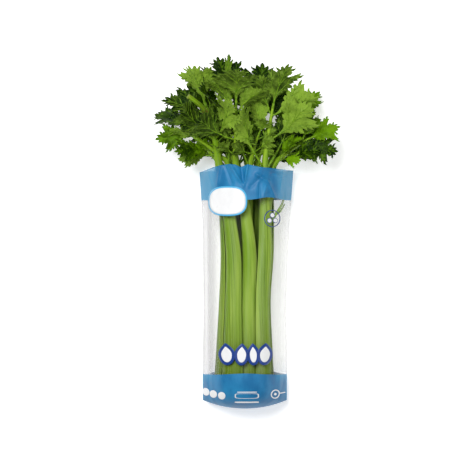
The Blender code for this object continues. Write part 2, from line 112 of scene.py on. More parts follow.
# The veins of one half. Each starts on the midrib or on a point of an earlier one.
MIDRIB = (0.0, 0.10, 0.20, 0.30, 0.42, 0.52, 0.62, 0.74, 0.86, 0.97)
SIDE_VEINS = (
    ((0, 0.20), (0.055, 0.29), (0.11, 0.37), (0.19, 0.47), (0.27, 0.58), (0.35, 0.68), (0.455, 0.79)),
    ((0.055, 0.29), (0.17, 0.355), (0.352, 0.448)),
    ((0.055, 0.29), (0.160, 0.272)),
    ((0.17, 0.355), (0.255, 0.353)),
    ((0.19, 0.47), (0.26, 0.515), (0.34, 0.552)),
    ((0.27, 0.58), (0.34, 0.625), (0.408, 0.656)),
    ((0.27, 0.58), (0.315, 0.68), (0.348, 0.80)),
    ((0.19, 0.47), (0.22, 0.60), (0.257, 0.712)),
    ((0, 0.42), (0.06, 0.54), (0.12, 0.66), (0.198, 0.782)),
    ((0.06, 0.54), (0.155, 0.662)),
    ((0, 0.62), (0.07, 0.74), (0.15, 0.83), (0.228, 0.892)),
    ((0, 0.74), (0.05, 0.84), (0.105, 0.94)),
)
# The thicker ones, counted with both halves' veins in turn and the midrib as 0
MAIN_VEINS = (1, 2, 17, 18)
# Radii of the midrib, the thicker veins and the rest, in mm, on a leaflet of at least full length
VEIN_RADII = (0.85, 0.52, 0.34)
FULL_LEAFLET = 38 * MM
# A blade's thickness, how far apart its points are, and how it puffs up and flutters off its veins
BLADE = 0.45 * MM
LEAF_GRID = 2.7 * MM
PUFF = 0.75 * MM
PUFF_REACH = 2.4 * MM
FLUTTER = 1.6 * MM
# Radii of the leaflets' stems at their start, for the leaflet at the tip and for each pair, in mm
STEM_RADII = {None: 1.9, 0: 1.8, 1: 1.5, 2: 1.3}
LEAF_SHADES = (0.12, 0.40, 0.82)


def smooth(x):
    """0 up to 0, 1 from 1 on, and soft between them."""
    x = min(max(x, 0.0), 1.0)
    return x * x * (3 - 2 * x)


def between(x, stops):
    """The value at x of a line through (place, value) stops."""
    for (a, low), (b, high) in zip(stops, stops[1:]):
        if x <= b:
            return low + (high - low) * max(0.0, (x - a) / (b - a))
    return stops[-1][1]


def circle(sides):
    """The angles of evenly spaced points once round."""
    return [2 * math.pi * k / sides for k in range(sides)]


def catmull_rom(points, steps):
    ends = [points[0] * 2 - points[1], *points, points[-1] * 2 - points[-2]]
    curve = []
    for a, b, c, d in zip(ends, ends[1:], ends[2:], ends[3:]):
        for k in range(steps):
            t = k / steps
            curve.append(
                0.5 * (2 * b + (c - a) * t + (2 * a - 5 * b + 4 * c - d) * t * t
                       + (3 * b - a - 3 * c + d) * t ** 3)
            )
    curve.append(points[-1].copy())
    return curve


class Path:
    """A smooth curve through points, measured by its length."""

    STEPS = 14

    def __init__(self, points):
        self.points = catmull_rom(points, self.STEPS)
        self.distances = [0.0]
        for a, b in zip(self.points, self.points[1:]):
            self.distances.append(self.distances[-1] + (b - a).length)
        self.length = self.distances[-1]

    def at(self, distance):
        """The point and the tangent at a distance from the start."""
        distance = min(max(distance, 0.0), self.length)
        i = 0
        while i < len(self.points) - 2 and self.distances[i + 1] < distance:
            i += 1
        span = self.distances[i + 1] - self.distances[i]
        share = (distance - self.distances[i]) / span
        a, b = self.points[i], self.points[i + 1]
        before = self.points[max(i - 1, 0)]
        after = self.points[min(i + 2, len(self.points) - 1)]
        tangent = (b - before).normalized().lerp((after - a).normalized(), share)
        return a.lerp(b, share), tangent.normalized()

    def distance_at_y(self, y):
        for i, point in enumerate(self.points):
            if point.y >= y:
                return self.distances[i]
        return self.length


class Stalk:
    """One stalk's place in the head, where it leaves the sleeve, and where its leaf's tip is."""

    def __init__(self, index, foot, mouth, tip, face, pairs, size):
        self.index = index
        self.angle = math.radians(foot[0])
        self.base, self.ring = foot[1] * MM, foot[2] * MM
        self.slim = foot[3:5]
        self.face = math.radians(face)
        self.mouth = Vector((mouth[0], SLEEVE_MOUTH_Y / MM, mouth[1])) * MM
        self.tip = Vector(tip) * MM
        self.pairs = pairs
        self.size = size
        self.turn = (self.face - self.angle + math.pi) % (2 * math.pi) - math.pi
        self.path = Path(self.way())
        self.crown = self.path.distance_at_y(SLEEVE_MOUTH_Y)
        self.end = self.crown + NODE_SHARES[0] * (self.path.length - self.crown) - 3 * MM

    def around(self, radius, y):
        return Vector((radius * math.cos(self.angle), y, AXIS_Z + radius * math.sin(self.angle)))

    def way(self):
        rise = self.tip - self.mouth
        bow = self.mouth + Vector((0.2 * rise.x, 0.5 * rise.y, 0.25 * rise.z))
        points = [
            self.around(self.base * BUTT_DRAW_IN, STALK_Y),
            self.around(self.base, STALK_Y + 13 * MM),
            self.around(0.7 * self.base + 0.3 * self.ring, -90 * MM),
            self.around(self.ring, -20 * MM),
        ]
        for y, share in ((40 * MM, 0.12), (100 * MM, 0.45)):
            point = self.around(self.ring, y).lerp(self.mouth, share)
            points.append(Vector((point.x + AXIS_LEAN * (1 - share), y, point.z)))
        points.append(self.mouth)
        for share in (0.25, 0.5, 0.75, 1.0):
            near = self.mouth.lerp(bow, share)
            points.append(near.lerp(bow.lerp(self.tip, share), share))
        return points

    def outward(self, distance, tangent):
        share = smooth((distance - 0.35 * self.crown) / (0.65 * self.crown))
        angle = self.angle + self.turn * share
        out = Vector((math.cos(angle), 0, math.sin(angle)))
        return (out - tangent * out.dot(tangent)).normalized()


# Foot (its angle, two distances from the axis, two shares of the width), mouth across and up, tip
# across, along and up, the angle that its leaf faces, the leaf's first pair and the one past its
# last, and its size. Lengths are in mm and angles in degrees.
STALKS = [
    Stalk(0, (121, 40, 37.5, 0.80, 0.90), (-35, 58), (-74, 288, 98), 112, (1, 3), 1.2),
    Stalk(1, (259, 40, 37, 1.0, 1.0), (4, 11), (26, 296, 10), 272, (0, 3), 1.0),
    Stalk(2, (42, 40, 37.5, 0.70, 0.90), (27, 61), (50, 288, 100), 72, (0, 3), 1.0),
    Stalk(3, (184, 40, 34, 1.0, 0.92), (-36, 35), (-120, 232, 44), 208, (0, 3), 1.0),
    Stalk(4, (331, 40, 36.5, 0.95, 1.0), (35, 22), (100, 258, 18), 305, (0, 3), 1.0),
    Stalk(5, (78, 34, 31, 0.60, 0.76), (-12, 63), (-12, 290, 122), 95, (1, 3), 1.0),
    Stalk(6, (223, 29.5, 25, 0.74, 0.78), (-19, 21), (-32, 306, 44), 260, (0, 3), 0.95),
    Stalk(7, (7, 29.5, 27, 0.74, 0.80), (40, 43), (122, 208, 66), 335, (0, 3), 0.95),
    Stalk(8, (148, 29.5, 25, 0.70, 0.74), (-24, 46), (-98, 206, 66), 150, (0, 2), 0.9),
    Stalk(9, (294, 29.5, 25, 0.74, 0.78), (16, 30), (56, 258, 60), 280, (0, 2), 0.9),
    Stalk(10, (88, 16, 13, 0.55, 0.62), (7, 53), (30, 222, 86), 80, (0, 2), 0.85),
    Stalk(11, (250, 13, 11, 0.58, 0.66), (-10, 40), (-36, 232, 66), 110, (0, 2), 0.85),
]


class Shade:
    """A node material, with short calls for the nodes that it is made of."""

    def __init__(self, name):
        self.material = bpy.data.materials.new(name)
        self.material.use_nodes = True
        self.tree = self.material.node_tree
        self.shader = self.tree.nodes["Principled BSDF"]

    def set(self, **values):
        for name, value in values.items():
            self.feed(self.shader.inputs[name.replace("_", " ")], value)

    def feed(self, socket, value):
        if isinstance(value, bpy.types.NodeSocket):
            self.tree.links.new(value, socket)
        else:
            socket.default_value = value

    def node(self, kind, **settings):
        made = self.tree.nodes.new("ShaderNode" + kind)
        for name, value in settings.items():
            setattr(made, name, value)
        return made

    def math(self, operation, *values):
        made = self.node("Math", operation=operation)
        for socket, value in zip(made.inputs, values):
            self.feed(socket, value)
        return made.outputs[0]

    def times(self, value, share):
        return self.math("MULTIPLY", value, share)

    def plus(self, value, share, other):
        """value times share, plus other."""
        return self.math("MULTIPLY_ADD", value, share, other)

    def scaled(self, seen, scale):
        stretch = self.node("Mapping")
        self.feed(stretch.inputs["Vector"], seen)
        stretch.inputs["Scale"].default_value = scale
        return stretch.outputs["Vector"]

    def place(self, *scale):
        """Places on the object in metres, each axis times its scale."""
        return self.scaled(self.node("TexCoord").outputs["Object"], scale)

    def laid(self, *scale):
        """Places on the unrolled surface, each axis times its scale."""
        return self.scaled(self.node("UVMap", uv_map="UVMap").outputs["UV"], (*scale, 1))

    def kept(self, name):
        """A number that the mesh carries."""
        return self.node("Attribute", attribute_name=name).outputs["Fac"]

    def noise(self, place, detail, rough=0.55):
        made = self.node("TexNoise")
        self.feed(made.inputs["Vector"], place)
        made.inputs["Scale"].default_value = 1
        made.inputs["Detail"].default_value = detail
        made.inputs["Roughness"].default_value = rough
        return made.outputs["Fac"]

    def cells(self, place):
        """How far a point is from the edge of its cell."""
        made = self.node("TexVoronoi", feature="DISTANCE_TO_EDGE")
        self.feed(made.inputs["Vector"], place)
        made.inputs["Scale"].default_value = 1
        return made.outputs["Distance"]

    def span(self, value, low, high, new_low=0.0, new_high=1.0):
        """value from low to high, as new_low to new_high, with soft ends."""
        made = self.node("MapRange", interpolation_type="SMOOTHSTEP")
        ends = {"From Min": low, "From Max": high, "To Min": new_low, "To Max": new_high}
        for name, number in ends.items():
            made.inputs[name].default_value = number
        self.feed(made.inputs["Value"], value)
        return made.outputs["Result"]

    def mix(self, share, first, second):
        made = self.node("Mix", data_type="RGBA")
        self.feed(made.inputs[0], share)
        for socket, colour in ((made.inputs[6], first), (made.inputs[7], second)):
            self.feed(socket, colour if isinstance(colour, bpy.types.NodeSocket) else (*colour, 1.0))
        return made.outputs[2]

    def bump(self, height, distance, strength):
        made = self.node("Bump")
        made.inputs["Strength"].default_value = strength
        made.inputs["Distance"].default_value = distance
        self.feed(made.inputs["Height"], height)
        self.feed(self.shader.inputs["Normal"], made.outputs["Normal"])

    def lit_through(self, colour, share):
        """Lets some of the light that falls on the far side show."""
        glow = self.node("BsdfTranslucent")
        self.feed(glow.inputs["Color"], colour)
        both = self.node("MixShader")
        both.inputs[0].default_value = share
        self.feed(both.inputs[1], self.shader.outputs[0])
        self.feed(both.inputs[2], glow.outputs[0])
        self.feed(self.tree.nodes["Material Output"].inputs["Surface"], both.outputs[0])


def stalk_material():
    """Ribbed skin: pale and dark strands, deeper green towards the butt and under the leaf."""
    made = Shade("stalk_skin")
    crest = made.span(made.kept("rib"), 0.1, 1.0)
    strands = made.noise(made.laid(1100, 6), 2, 0.6)
    stripes = made.noise(made.laid(330, 3.2), 3)
    broad = made.noise(made.laid(95, 7), 3, 0.5)
    speckle = made.noise(made.place(900, 500, 900), 2)
    pale = made.plus(stripes, 0.85, made.times(crest, 0.34))
    pale = made.plus(strands, 0.16, pale)
    pale = made.plus(made.kept("tone"), 0.30, pale)
    dark = made.mix(made.span(broad, 0.32, 0.68), (0.070, 0.145, 0.004), (0.125, 0.215, 0.010))
    light = made.mix(made.span(broad, 0.32, 0.68), (0.155, 0.280, 0.014), (0.285, 0.410, 0.060))
    colour = made.mix(made.span(pale, 0.46, 0.96), dark, light)
    low = made.span(made.kept("along"), 0.0, 0.40, 1.0, 0.0)
    colour = made.mix(made.times(low, 0.92), colour, (0.084, 0.140, 0.001))
    high = made.span(made.kept("along"), 0.90, 1.06)
    leafy = made.mix(made.span(stripes, 0.35, 0.65), (0.105, 0.235, 0.003), (0.26, 0.43, 0.012))
    colour = made.mix(made.times(high, 0.85), colour, leafy)
    stain = made.span(made.noise(made.place(38, 14, 38), 4, 0.65), 0.62, 0.76)
    colour = made.mix(made.times(stain, 0.30), colour, (0.20, 0.17, 0.025))
    colour = made.mix(made.kept("scar"), colour, (0.19, 0.105, 0.018))
    made.set(Base_Color=colour, Roughness=made.span(broad, 0.2, 0.8, 0.38, 0.54))
    made.set(Specular_IOR_Level=0.22)
    made.set(Subsurface_Weight=0.12, Subsurface_Scale=0.003, Subsurface_Radius=(0.9, 1.0, 0.3))
    height = made.plus(strands, 0.7, made.times(speckle, 0.3))
    made.bump(height, 0.28 * MM, 0.6)
    return made.material


def leaf_material(name, dark, bright, vein, rough, through):
    """A leaf's skin. Its veins are paler, and a net of fine ones lies between them."""
    made = Shade(name)
    blotch = made.noise(made.place(75, 75, 75), 3, 0.6)
    fine = made.noise(made.place(420, 420, 420), 3, 0.6)
    # The mesh's shade number holds each leaflet's own tone, lowered on leaflets that lie low as painted
    # shade
    share = made.plus(blotch, 1.0, made.times(made.kept("shade"), 0.90))
    colour = made.mix(made.span(share, 0.46, 1.36), dark, bright)
    colour = made.mix(made.span(fine, 0.45, 0.8, 0.0, 0.35), colour, tuple(0.62 * c for c in dark))
    net = made.cells(made.place(330, 330, 330))
    colour = made.mix(made.span(net, 0.0, 0.11, 0.16, 0.0), colour, vein)
    line = made.span(made.kept("vein"), 0.70, 0.94)
    veined = made.times(line, made.span(made.kept("shade"), 0.0, 0.9, 0.35, 0.85))
    colour = made.mix(veined, colour, vein)
    made.set(Base_Color=colour, Roughness=made.span(fine, 0.2, 0.8, rough - 0.07, rough + 0.09))
    made.set(Specular_IOR_Level=0.05)
    height = made.plus(made.span(net, 0.0, 0.30), 0.7, made.times(fine, 0.3))
    made.bump(height, 0.30 * MM, 0.8)
    made.lit_through(through, 0.09)
    return made.material


def rib_material():
    """The leaf's stems and the raised veins under its blades."""
    made = Shade("leaf_rib")
    grain = made.noise(made.place(300, 300, 300), 3, 0.6)
    colour = made.mix(made.span(grain, 0.3, 0.7), (0.075, 0.180, 0.003), (0.215, 0.375, 0.018))
    made.set(Base_Color=colour, Roughness=made.span(grain, 0.2, 0.8, 0.38, 0.52), Specular_IOR_Level=0.2)
    made.bump(grain, 0.2 * MM, 0.6)
    return made.material


def butt_material():
    """Pale cut flesh with brown stains."""
    made = Shade("butt_flesh")
    rings = made.noise(made.place(190, 60, 190), 4, 0.6)
    cut = made.noise(made.place(60, 60, 60), 5, 0.65)
    colour = made.mix(made.span(rings, 0.35, 0.68), (0.52, 0.50, 0.22), (0.74, 0.74, 0.45))
    colour = made.mix(made.span(cut, 0.50, 0.72, 0.0, 0.8), colour, (0.33, 0.19, 0.07))
    made.set(Base_Color=colour, Roughness=made.span(cut, 0.2, 0.8, 0.5, 0.72))
    made.bump(made.math("ADD", rings, cut), 0.8 * MM, 0.8)
    return made.material


def clear_material(name, tight, least, most):
    """Clear film: a faint haze, greyer in a few broad upright streaks where the film hangs loose. The grey
    is painted shade for the folds.
    """
    made = Shade(name)
    haze_and_painted_fold_shade = made.noise(made.place(74, 1.6, 0), 1, 0.4)
    fine = made.noise(made.place(190, 3, 0), 1, 0.4)
    blend = made.plus(fine, 0.16, made.times(haze_and_painted_fold_shade, 0.84))
    # The haze runs from grey to near white along the streaks: painted shade for the film's folds
    made.set(Base_Color=made.mix(made.span(haze_and_painted_fold_shade, 0.35, 0.62), (0.42, 0.40, 0.425), (0.89, 0.875, 0.90)))
    # More haze where the film is loose and crinkled, less on the right as painted light against the shadow
    # there
    crinkled = made.times(made.kept("slack"), made.kept("crinkle"))
    loose = made.times(crinkled, made.span(blend, 0.40, 0.66, least, most))
    made.set(Roughness=0.16, Alpha=made.math("ADD", loose, made.span(blend, 0.42, 0.75, 0.0, tight)))
    made.bump(made.noise(made.place(70, 8, 70), 1), 0.2 * MM, 0.3)
    return made.material


def ink_material(name, deep, bright, pale, tight, loose):
    """Printed film: the ink is a little cloudy, and lets more light through where the film hangs loose.
    There its colour is painted paler too: painted light for the light that shows through from behind.
    """
    made = Shade(name)
    cloud = made.noise(made.place(48, 30, 48), 4)
    fine = made.noise(made.place(900, 900, 900), 2, 0.5)
    colour = made.mix(made.span(cloud, 0.34, 0.70), deep, bright)
    colour = made.mix(made.span(fine, 0.35, 0.8, 0.0, 0.08), colour, tuple(1.3 * c + 0.02 for c in bright))
    # Where the film hangs loose the ink is painted paler: painted light for the light that shows through
    # it
    painted_light_share = made.span(made.kept("slack"), 0.0, 1.0, 0.0, 0.85)
    colour = made.mix(painted_light_share, colour, pale)
    made.set(Base_Color=colour, Roughness=made.span(cloud, 0.2, 0.8, 0.40, 0.54), Specular_IOR_Level=0.28)
    made.set(Alpha=made.span(made.kept("slack"), 0.0, 1.0, tight, loose))
    made.bump(made.plus(fine, 0.15, cloud), 0.5 * MM, 0.5)
    return made.material


class Shell:
    """Points and faces with what they carry, gathered into one mesh."""

    def __init__(self):
        self.points = []
        self.faces = []
        self.slots = []
        self.carried = {}

    def add(self, points, faces, slots, **carried):
        first = len(self.points)
        for name, values in carried.items():
            kept = self.carried.setdefault(name, [0.0] * first)
            kept += values if isinstance(values, list) else [values] * len(points)
        self.points += [tuple(p) for p in points]
        self.faces += [tuple(first + k for k in face) for face in faces]
        self.slots += slots if isinstance(slots, list) else [slots] * len(faces)
        for kept in self.carried.values():
            kept += [0.0] * (len(self.points) - len(kept))

    def made(self, name, materials):
        mesh = bpy.data.meshes.new(name)
        mesh.from_pydata(self.points, [], self.faces)
        mesh.polygons.foreach_set("material_index", self.slots)
        mesh.polygons.foreach_set("use_smooth", [True] * len(self.faces))
        for key, values in self.carried.items():
            if key not in ("u", "v"):
                mesh.attributes.new(key, "FLOAT", "POINT").data.foreach_set("value", values)
        if "u" in self.carried:
            laid = mesh.uv_layers.new(name="UVMap")
            for corner in mesh.loops:
                k = corner.vertex_index
                laid.data[corner.index].uv = (self.carried["u"][k], self.carried["v"][k])
        for material in materials:
            mesh.materials.append(material)
        mesh.update()
        made = bpy.data.objects.new(name, mesh)
        bpy.context.scene.collection.objects.link(made)
        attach(made, "root")
        return made


def tube_faces(rows, sides, closed=True):
    """The faces between rings of points, and the two ends of a closed form."""
    faces = []
    for row in range(rows):
        for j in range(sides):
            a, b = row * sides + j, row * sides + (j + 1) % sides
            faces.append((a, b, b + sides, a + sides))
    if closed:
        faces.append(tuple(reversed(range(sides))))
        faces.append(tuple(range(rows * sides, (rows + 1) * sides)))
    return faces


def sweep(line, radii, sides, rib=0.0, ribs=0):
    """A closed stem along a line, as points and faces. It may have shallow lengthwise ribs."""
    points = []
    side = (line[1] - line[0]).orthogonal().normalized()
    for k, (point, radius) in enumerate(zip(line, radii)):
        run = (line[min(k + 1, len(line) - 1)] - line[max(k - 1, 0)]).normalized()
        side = (side - run * side.dot(run)).normalized()
        up = run.cross(side)
        for angle in circle(sides):
            deep = radius * (1 - rib * (0.5 + 0.5 * math.cos(ribs * angle)))
            points.append(point + (side * math.cos(angle) + up * math.sin(angle)) * deep)
    return points, tube_faces(len(line) - 1, sides)


# Stalks

BACK_POINTS = 61
INNER_POINTS = 17
RIBS = 9


def stalk_width(stalk, share):
    """A stalk's width at a share of its way to its leaf."""
    widths = ((0, 36), (0.05, 40.5), (0.1, 40), (0.25, 33), (0.4, 28), (0.65, 24), (0.85, 18), (1, 12))
    low, high = stalk.slim
    return between(share, widths) * MM * between(share, ((0, low), (0.45, high), (0.8, high), (1, 1)))


def rachis_radius(stalk, distance):
    """The radius of the leaf's stem at a distance along the stalk."""
    start, terminal = stalk.end, stalk.path.length - TERMINAL_SHARE * (stalk.path.length - stalk.crown)
    share = (distance - start) / (terminal - start)
    return between(share, ((0, 5.2), (0.12, 4.4), (0.5, 3.0), (1, 1.5))) * MM * stalk.size


def rib_height(share, seed, distance):
    """How far up a rib's side a point of the back is, 0 in a groove and 1 on a crest."""
    wander = noise.noise(Vector((seed * 3.7, share * 2.6, distance * 7)))
    wave = abs(math.sin(math.pi * (RIBS * share + 1.3 * wander)))
    deep = 0.55 + 0.9 * noise.noise(Vector((share * 5.1, seed * 5.3, distance * 4)))
    return 1 - min(max(deep, 0.12), 1.0) * (1 - wave ** 0.8)


def stem_section(stalk, distance):
    """A crescent with a ribbed back that turns into the leaf's rounder, grooved stem."""
    share = min(distance / stalk.end, 1.0)
    point, tangent = stalk.path.at(distance)
    out = stalk.outward(distance, tangent)
    side = tangent.cross(out)
    width = stalk_width(stalk, share)
    swell = noise.noise(Vector((stalk.index * 7.3, distance * 21, 0)))
    width *= 1 + 0.03 * swell
    half = math.radians(between(share, ((0, 50), (0.2, 60), (0.6, 72), (1, 88))))
    radius = width / 2 / math.sin(half)
    thick = min(between(share, ((0, 7.5), (0.3, 6.5), (1, 5.5))) * MM * stalk.size, 0.78 * radius)
    rib = between(share, ((0, 0.5), (0.1, 0.85), (0.8, 0.7), (1, 0.3))) * MM
    stem = smooth((distance - stalk.end + 22 * MM) / (40 * MM))
    round_radius = rachis_radius(stalk, distance)
    middle = point - out * 4 * MM * stalk.size
    section, heights = [], []
    for k in range(BACK_POINTS + INNER_POINTS):
        on_back = k < BACK_POINTS
        if on_back:
            across = 1 - 2 * k / (BACK_POINTS - 1)
            height = rib_height((1 - across) / 2, stalk.index, distance)
            angle = half * across
            deep = radius - rib * (1 - height) * (1 - 0.6 * across ** 8)
            turn = across * math.radians(118)
            bulge = round_radius * (1 - 0.06 * (1 - height))
        else:
            across = 2 * (k - BACK_POINTS + 1) / (INNER_POINTS + 1) - 1
            height = 0.45
            lip = (1 - abs(across)) / 0.16
            angle = half * across * (0.985 - 0.05 * min(1.0, lip))
            deep = radius - thick * (1 - 0.62 * across ** 2) * (0.75 + 0.25 * min(1.0, lip))
            turn = math.pi - across * math.radians(62)
            bulge = round_radius * (1 - 0.42 * math.cos(across * math.pi / 2) ** 2)
        crescent = point + side * (deep * math.sin(angle)) + out * (deep * math.cos(angle) - radius)
        stick = middle + side * (bulge * math.sin(turn)) + out * (bulge * math.cos(turn))
        section.append(crescent.lerp(stick, stem))
        heights.append(height * (1 - 0.5 * stem) + 0.3 * stem)
    return section, heights, width


# Cut and small side stems on a stalk: points and radii in mm, then how brown it is along its way
TWIGS = {
    0: (
        (((-49, 222, 68), (-55, 231, 79), (-63, 238, 88), (-73, 245, 93)),
         ((0, 4.2), (0.2, 3.6), (0.8, 3.1), (0.93, 3.4), (1, 3.2)),
         ((0, 0.5), (0.16, 0.9), (0.3, 0.1), (0.85, 0.0), (1, 0.35))),
    ),
    2: (
        (((33, 84, 56), (41, 96, 48), (48, 107, 39), (53, 122, 30)),
         ((0, 2.6), (0.3, 1.9), (1, 1.4)),
         ((0, 0.0), (1, 0.0))),
        (((38, 93, 50), (46, 98, 42), (52, 108, 34)), ((0, 1.4), (1, 0.9)), ((0, 0.0), (1, 0.1))),
    ),
}
TWIG_SIDES = 24
# How much paler some stalks are
STALK_TONES = {5: 1.0, 2: 0.25, 4: -0.5}


def stem(stalk, materials):
    """One stalk with its leaf's stem, up to the leaflet at the tip."""
    shell = Shell()
    last = stalk.path.length - TERMINAL_SHARE * (stalk.path.length - stalk.crown) + 2 * MM
    steps = round(last / (4.0 * MM))
    count = BACK_POINTS + INNER_POINTS
    points, ribs, alongs, us, vs = [], [], [], [], []
    for k in range(steps + 1):
        distance = last * (k / steps)
        section, heights, width = stem_section(stalk, distance)
        if k == 0:
            middle = sum(section, Vector()) / count
            section = [p.lerp(middle, 0.05) for p in section]
        points += section
        ribs += heights
        alongs += [distance / stalk.crown] * count
        for j in range(count):
            share = j / (BACK_POINTS - 1) if j < BACK_POINTS else (count - j) / (INNER_POINTS + 1)
            us.append(stalk.index * 0.2 + share * width)
            vs.append(distance)
    tone = STALK_TONES.get(stalk.index, 0.0)
    shell.add(points, tube_faces(steps, count), 0, rib=ribs, along=alongs, u=us, v=vs, tone=tone)
    for marks, thickness, brown in TWIGS.get(stalk.index, ()):
        line = catmull_rom([Vector(p) * MM for p in marks], 6)
        last = len(line) - 1
        radii = [between(k / last, thickness) * MM for k in range(last + 1)]
        points, faces = sweep(line, radii, TWIG_SIDES, 0.10, 6)
        places = [k // TWIG_SIDES / last for k in range(len(points))]
        scars = [between(place, brown) for place in places]
        us = [(k % TWIG_SIDES) * 0.5 * MM for k in range(len(points))]
        vs = [0.03 * place for place in places]
        shell.add(points, faces, 0, rib=0.7, along=1.05, u=us, v=vs, tone=0.6, scar=scars)
    made = shell.made(f"stem_{stalk.index + 1}", materials)
    faced_out(made)
    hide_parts(f"stalk_{stalk.index + 1}")


def faced_out(made):
    """Turns the faces of closed forms outwards, and drops points that no face uses."""
    work = bmesh.new()
    work.from_mesh(made.data)
    bmesh.ops.delete(work, geom=[v for v in work.verts if not v.link_faces], context="VERTS")
    bmesh.ops.recalc_face_normals(work, faces=work.faces)
    work.to_mesh(made.data)
    work.free()


# Leaves

class Leaflet:
    """One lobed leaflet: its base, its run, its upper side and how it is curved."""

    def __init__(self, base, run, upper, length, draw):
        self.base = base
        self.run = run.normalized()
        self.upper = (upper - self.run * upper.dot(self.run)).normalized()
        self.side = self.run.cross(self.upper)
        self.length = length
        self.droop = draw.uniform(0.25, 1.1)
        self.fold = draw.uniform(0.10, 0.62)
        self.wave = draw.uniform(0.04, 0.10)
        self.phase = draw.uniform(0, 2 * math.pi)
        self.lean = draw.uniform(-0.10, 0.10)
        self.wide = draw.uniform(0.86, 1.08)

    def at(self, across, along):
        """The point of the leaflet's middle surface at shares of its length across and along."""
        across = across * self.wide + self.lean * along * along
        bend = self.droop * along
        forward = math.sin(bend) / self.droop
        down = (1 - math.cos(bend)) / self.droop
        edge = abs(across)
        ripple = self.wave * math.sin(8.5 * along + self.phase + (1.7 if across > 0 else 0)) * edge * 2
        lift = self.fold * edge - 0.35 * edge * edge + ripple - down
        point = self.base + self.length * (
            self.run * forward + self.side * across * (1 - 0.2 * self.fold) + self.upper * lift
        )
        return above_ground(point)

    def normal(self, across, along):
        """The way the upper side faces at a point."""
        step = 0.01
        wide = self.at(across + step, along) - self.at(across - step, along)
        far = self.at(across, along + step) - self.at(across, along - step)
        return wide.cross(far).normalized()


def above_ground(point):
    """Lifts a point that would come too near the ground, more softly the nearer it comes."""
    soft = 4 * MM
    low = LOWEST_BLADE_Z
    if point.z < low + soft:
        point.z = low + soft * math.exp((point.z - low - soft) / soft)
    return point


class Leaf:
    """The compound leaf at a stalk's end, with its leaflets found again from the solid."""

    def __init__(self, stalk):
        self.stalk = stalk
        self.length = stalk.path.length - stalk.crown
        self.terminal = stalk.path.length - TERMINAL_SHARE * self.length
        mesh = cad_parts[f"leaf_{stalk.index + 1}"].data
        corners = [v.co[:] for v in mesh.vertices]
        self.solid = BVHTree.FromPolygons(corners, [f.vertices[:] for f in mesh.polygons])
        draw = random.Random(40 + stalk.index)
        self.leaflets = []
        for pair, side in [(None, 0)] + [(pair, side) for pair in range(3) for side in (-1, 1)]:
            if pair is None or pair in range(*stalk.pairs):
                self.leaflets += self.found(pair, side, draw.randrange(10000))

    def frame(self, distance):
        point, run = self.stalk.path.at(distance)
        out = self.stalk.outward(distance, run)
        return point - out * 4 * MM * self.stalk.size, run, -out

    def leaflet_at(self, pair, side, tilt, swing, size, wobble):
        """A leaflet of a pair, or the tip's when pair is None, with its stem's start."""
        if pair is None:
            base, run, upper = self.frame(self.terminal)
            stem_start = base - run * 4 * MM
            length = TERMINAL_SHARE * self.length * size
            run = Matrix.Rotation(math.radians(tilt), 3, run.cross(upper)) @ run
            run = Matrix.Rotation(math.radians(swing), 3, upper) @ run
            return stem_start, Leaflet(base, run, upper, length, random.Random(wobble))
        stem_start, run, upper = self.frame(self.stalk.crown + NODE_SHARES[pair] * self.length)
        draw = random.Random(wobble)
        angle = math.radians(NODE_ANGLES[pair] + draw.uniform(-9, 9) + swing)
        across = run.cross(upper) * side
        way = run * math.cos(angle) + across * math.sin(angle)
        way = Matrix.Rotation(math.radians(tilt) * side, 3, run) @ way
        upper = Matrix.Rotation(math.radians(tilt + draw.uniform(-14, 14)) * side, 3, run) @ upper
        reach = PETIOLULE_SHARES[pair] * self.length + 3 * MM
        base = stem_start + way * reach
        length = LEAFLET_SHARES[pair] * self.length * size * draw.uniform(0.9, 1.1)
        return stem_start, Leaflet(base, way + run * 0.35, upper, length, draw)

    def found(self, pair, side, wobble):
        """The leaflet that lies on the solid, or none where the solid has none."""
        places = [(0, 1)] + [(s * x, y) for x, y in PLAIN_HALF for s in (1, -1)]
        best, least = None, NO_ROOM
        for size, tilt, swing in itertools.product(SIZES, TILTS, SWINGS):
            stem_start, leaflet = self.leaflet_at(pair, side, tilt, swing, size, wobble)
            total = 0.0
            for place in places:
                total += self.solid.find_nearest(leaflet.at(*place))[3]
                if total > least * len(places):
                    break
            else:
                best, least = (pair, stem_start, leaflet), total / len(places)
        return [best] if best else []


def warped(x, y, seed):
    """Each leaflet's own irregular form of the shared outline."""
    place = Vector((3.1 * x + seed, 3.1 * y - seed, 0.37 * seed))
    drift = noise.noise_vector(place) * 0.058 + noise.noise_vector(place * 3.4) * 0.022
    hold = smooth(y / 0.25)
    return Vector((x + drift.x * hold, y + drift.y * hold))


def half_outline():
    """The edge with curved teeth: each flank has a point in its middle, pushed outwards."""
    points = list(LEAFLET_BASE)
    ends = [LEAFLET_BASE[-1], *LEAFLET_TEETH, (0.0, 1.0)]
    for k, ((ax, ay), (bx, by)) in enumerate(zip(ends, ends[1:])):
        bulge = 0.16 if k % 2 else -0.02
        points.append(((ax + bx) / 2 + (by - ay) * bulge, (ay + by) / 2 - (bx - ax) * bulge))
        points.append((bx, by))
    return points[:-1]


def vein_lines():
    """The veins as lines of (across, along) points, the midrib first."""
    lines = [[(0.0, y) for y in MIDRIB]]
    for line in SIDE_VEINS:
        lines += [list(line), [(-x, y) for x, y in line]]
    return lines


HALF_OUTLINE = half_outline()
VEINS = vein_lines()


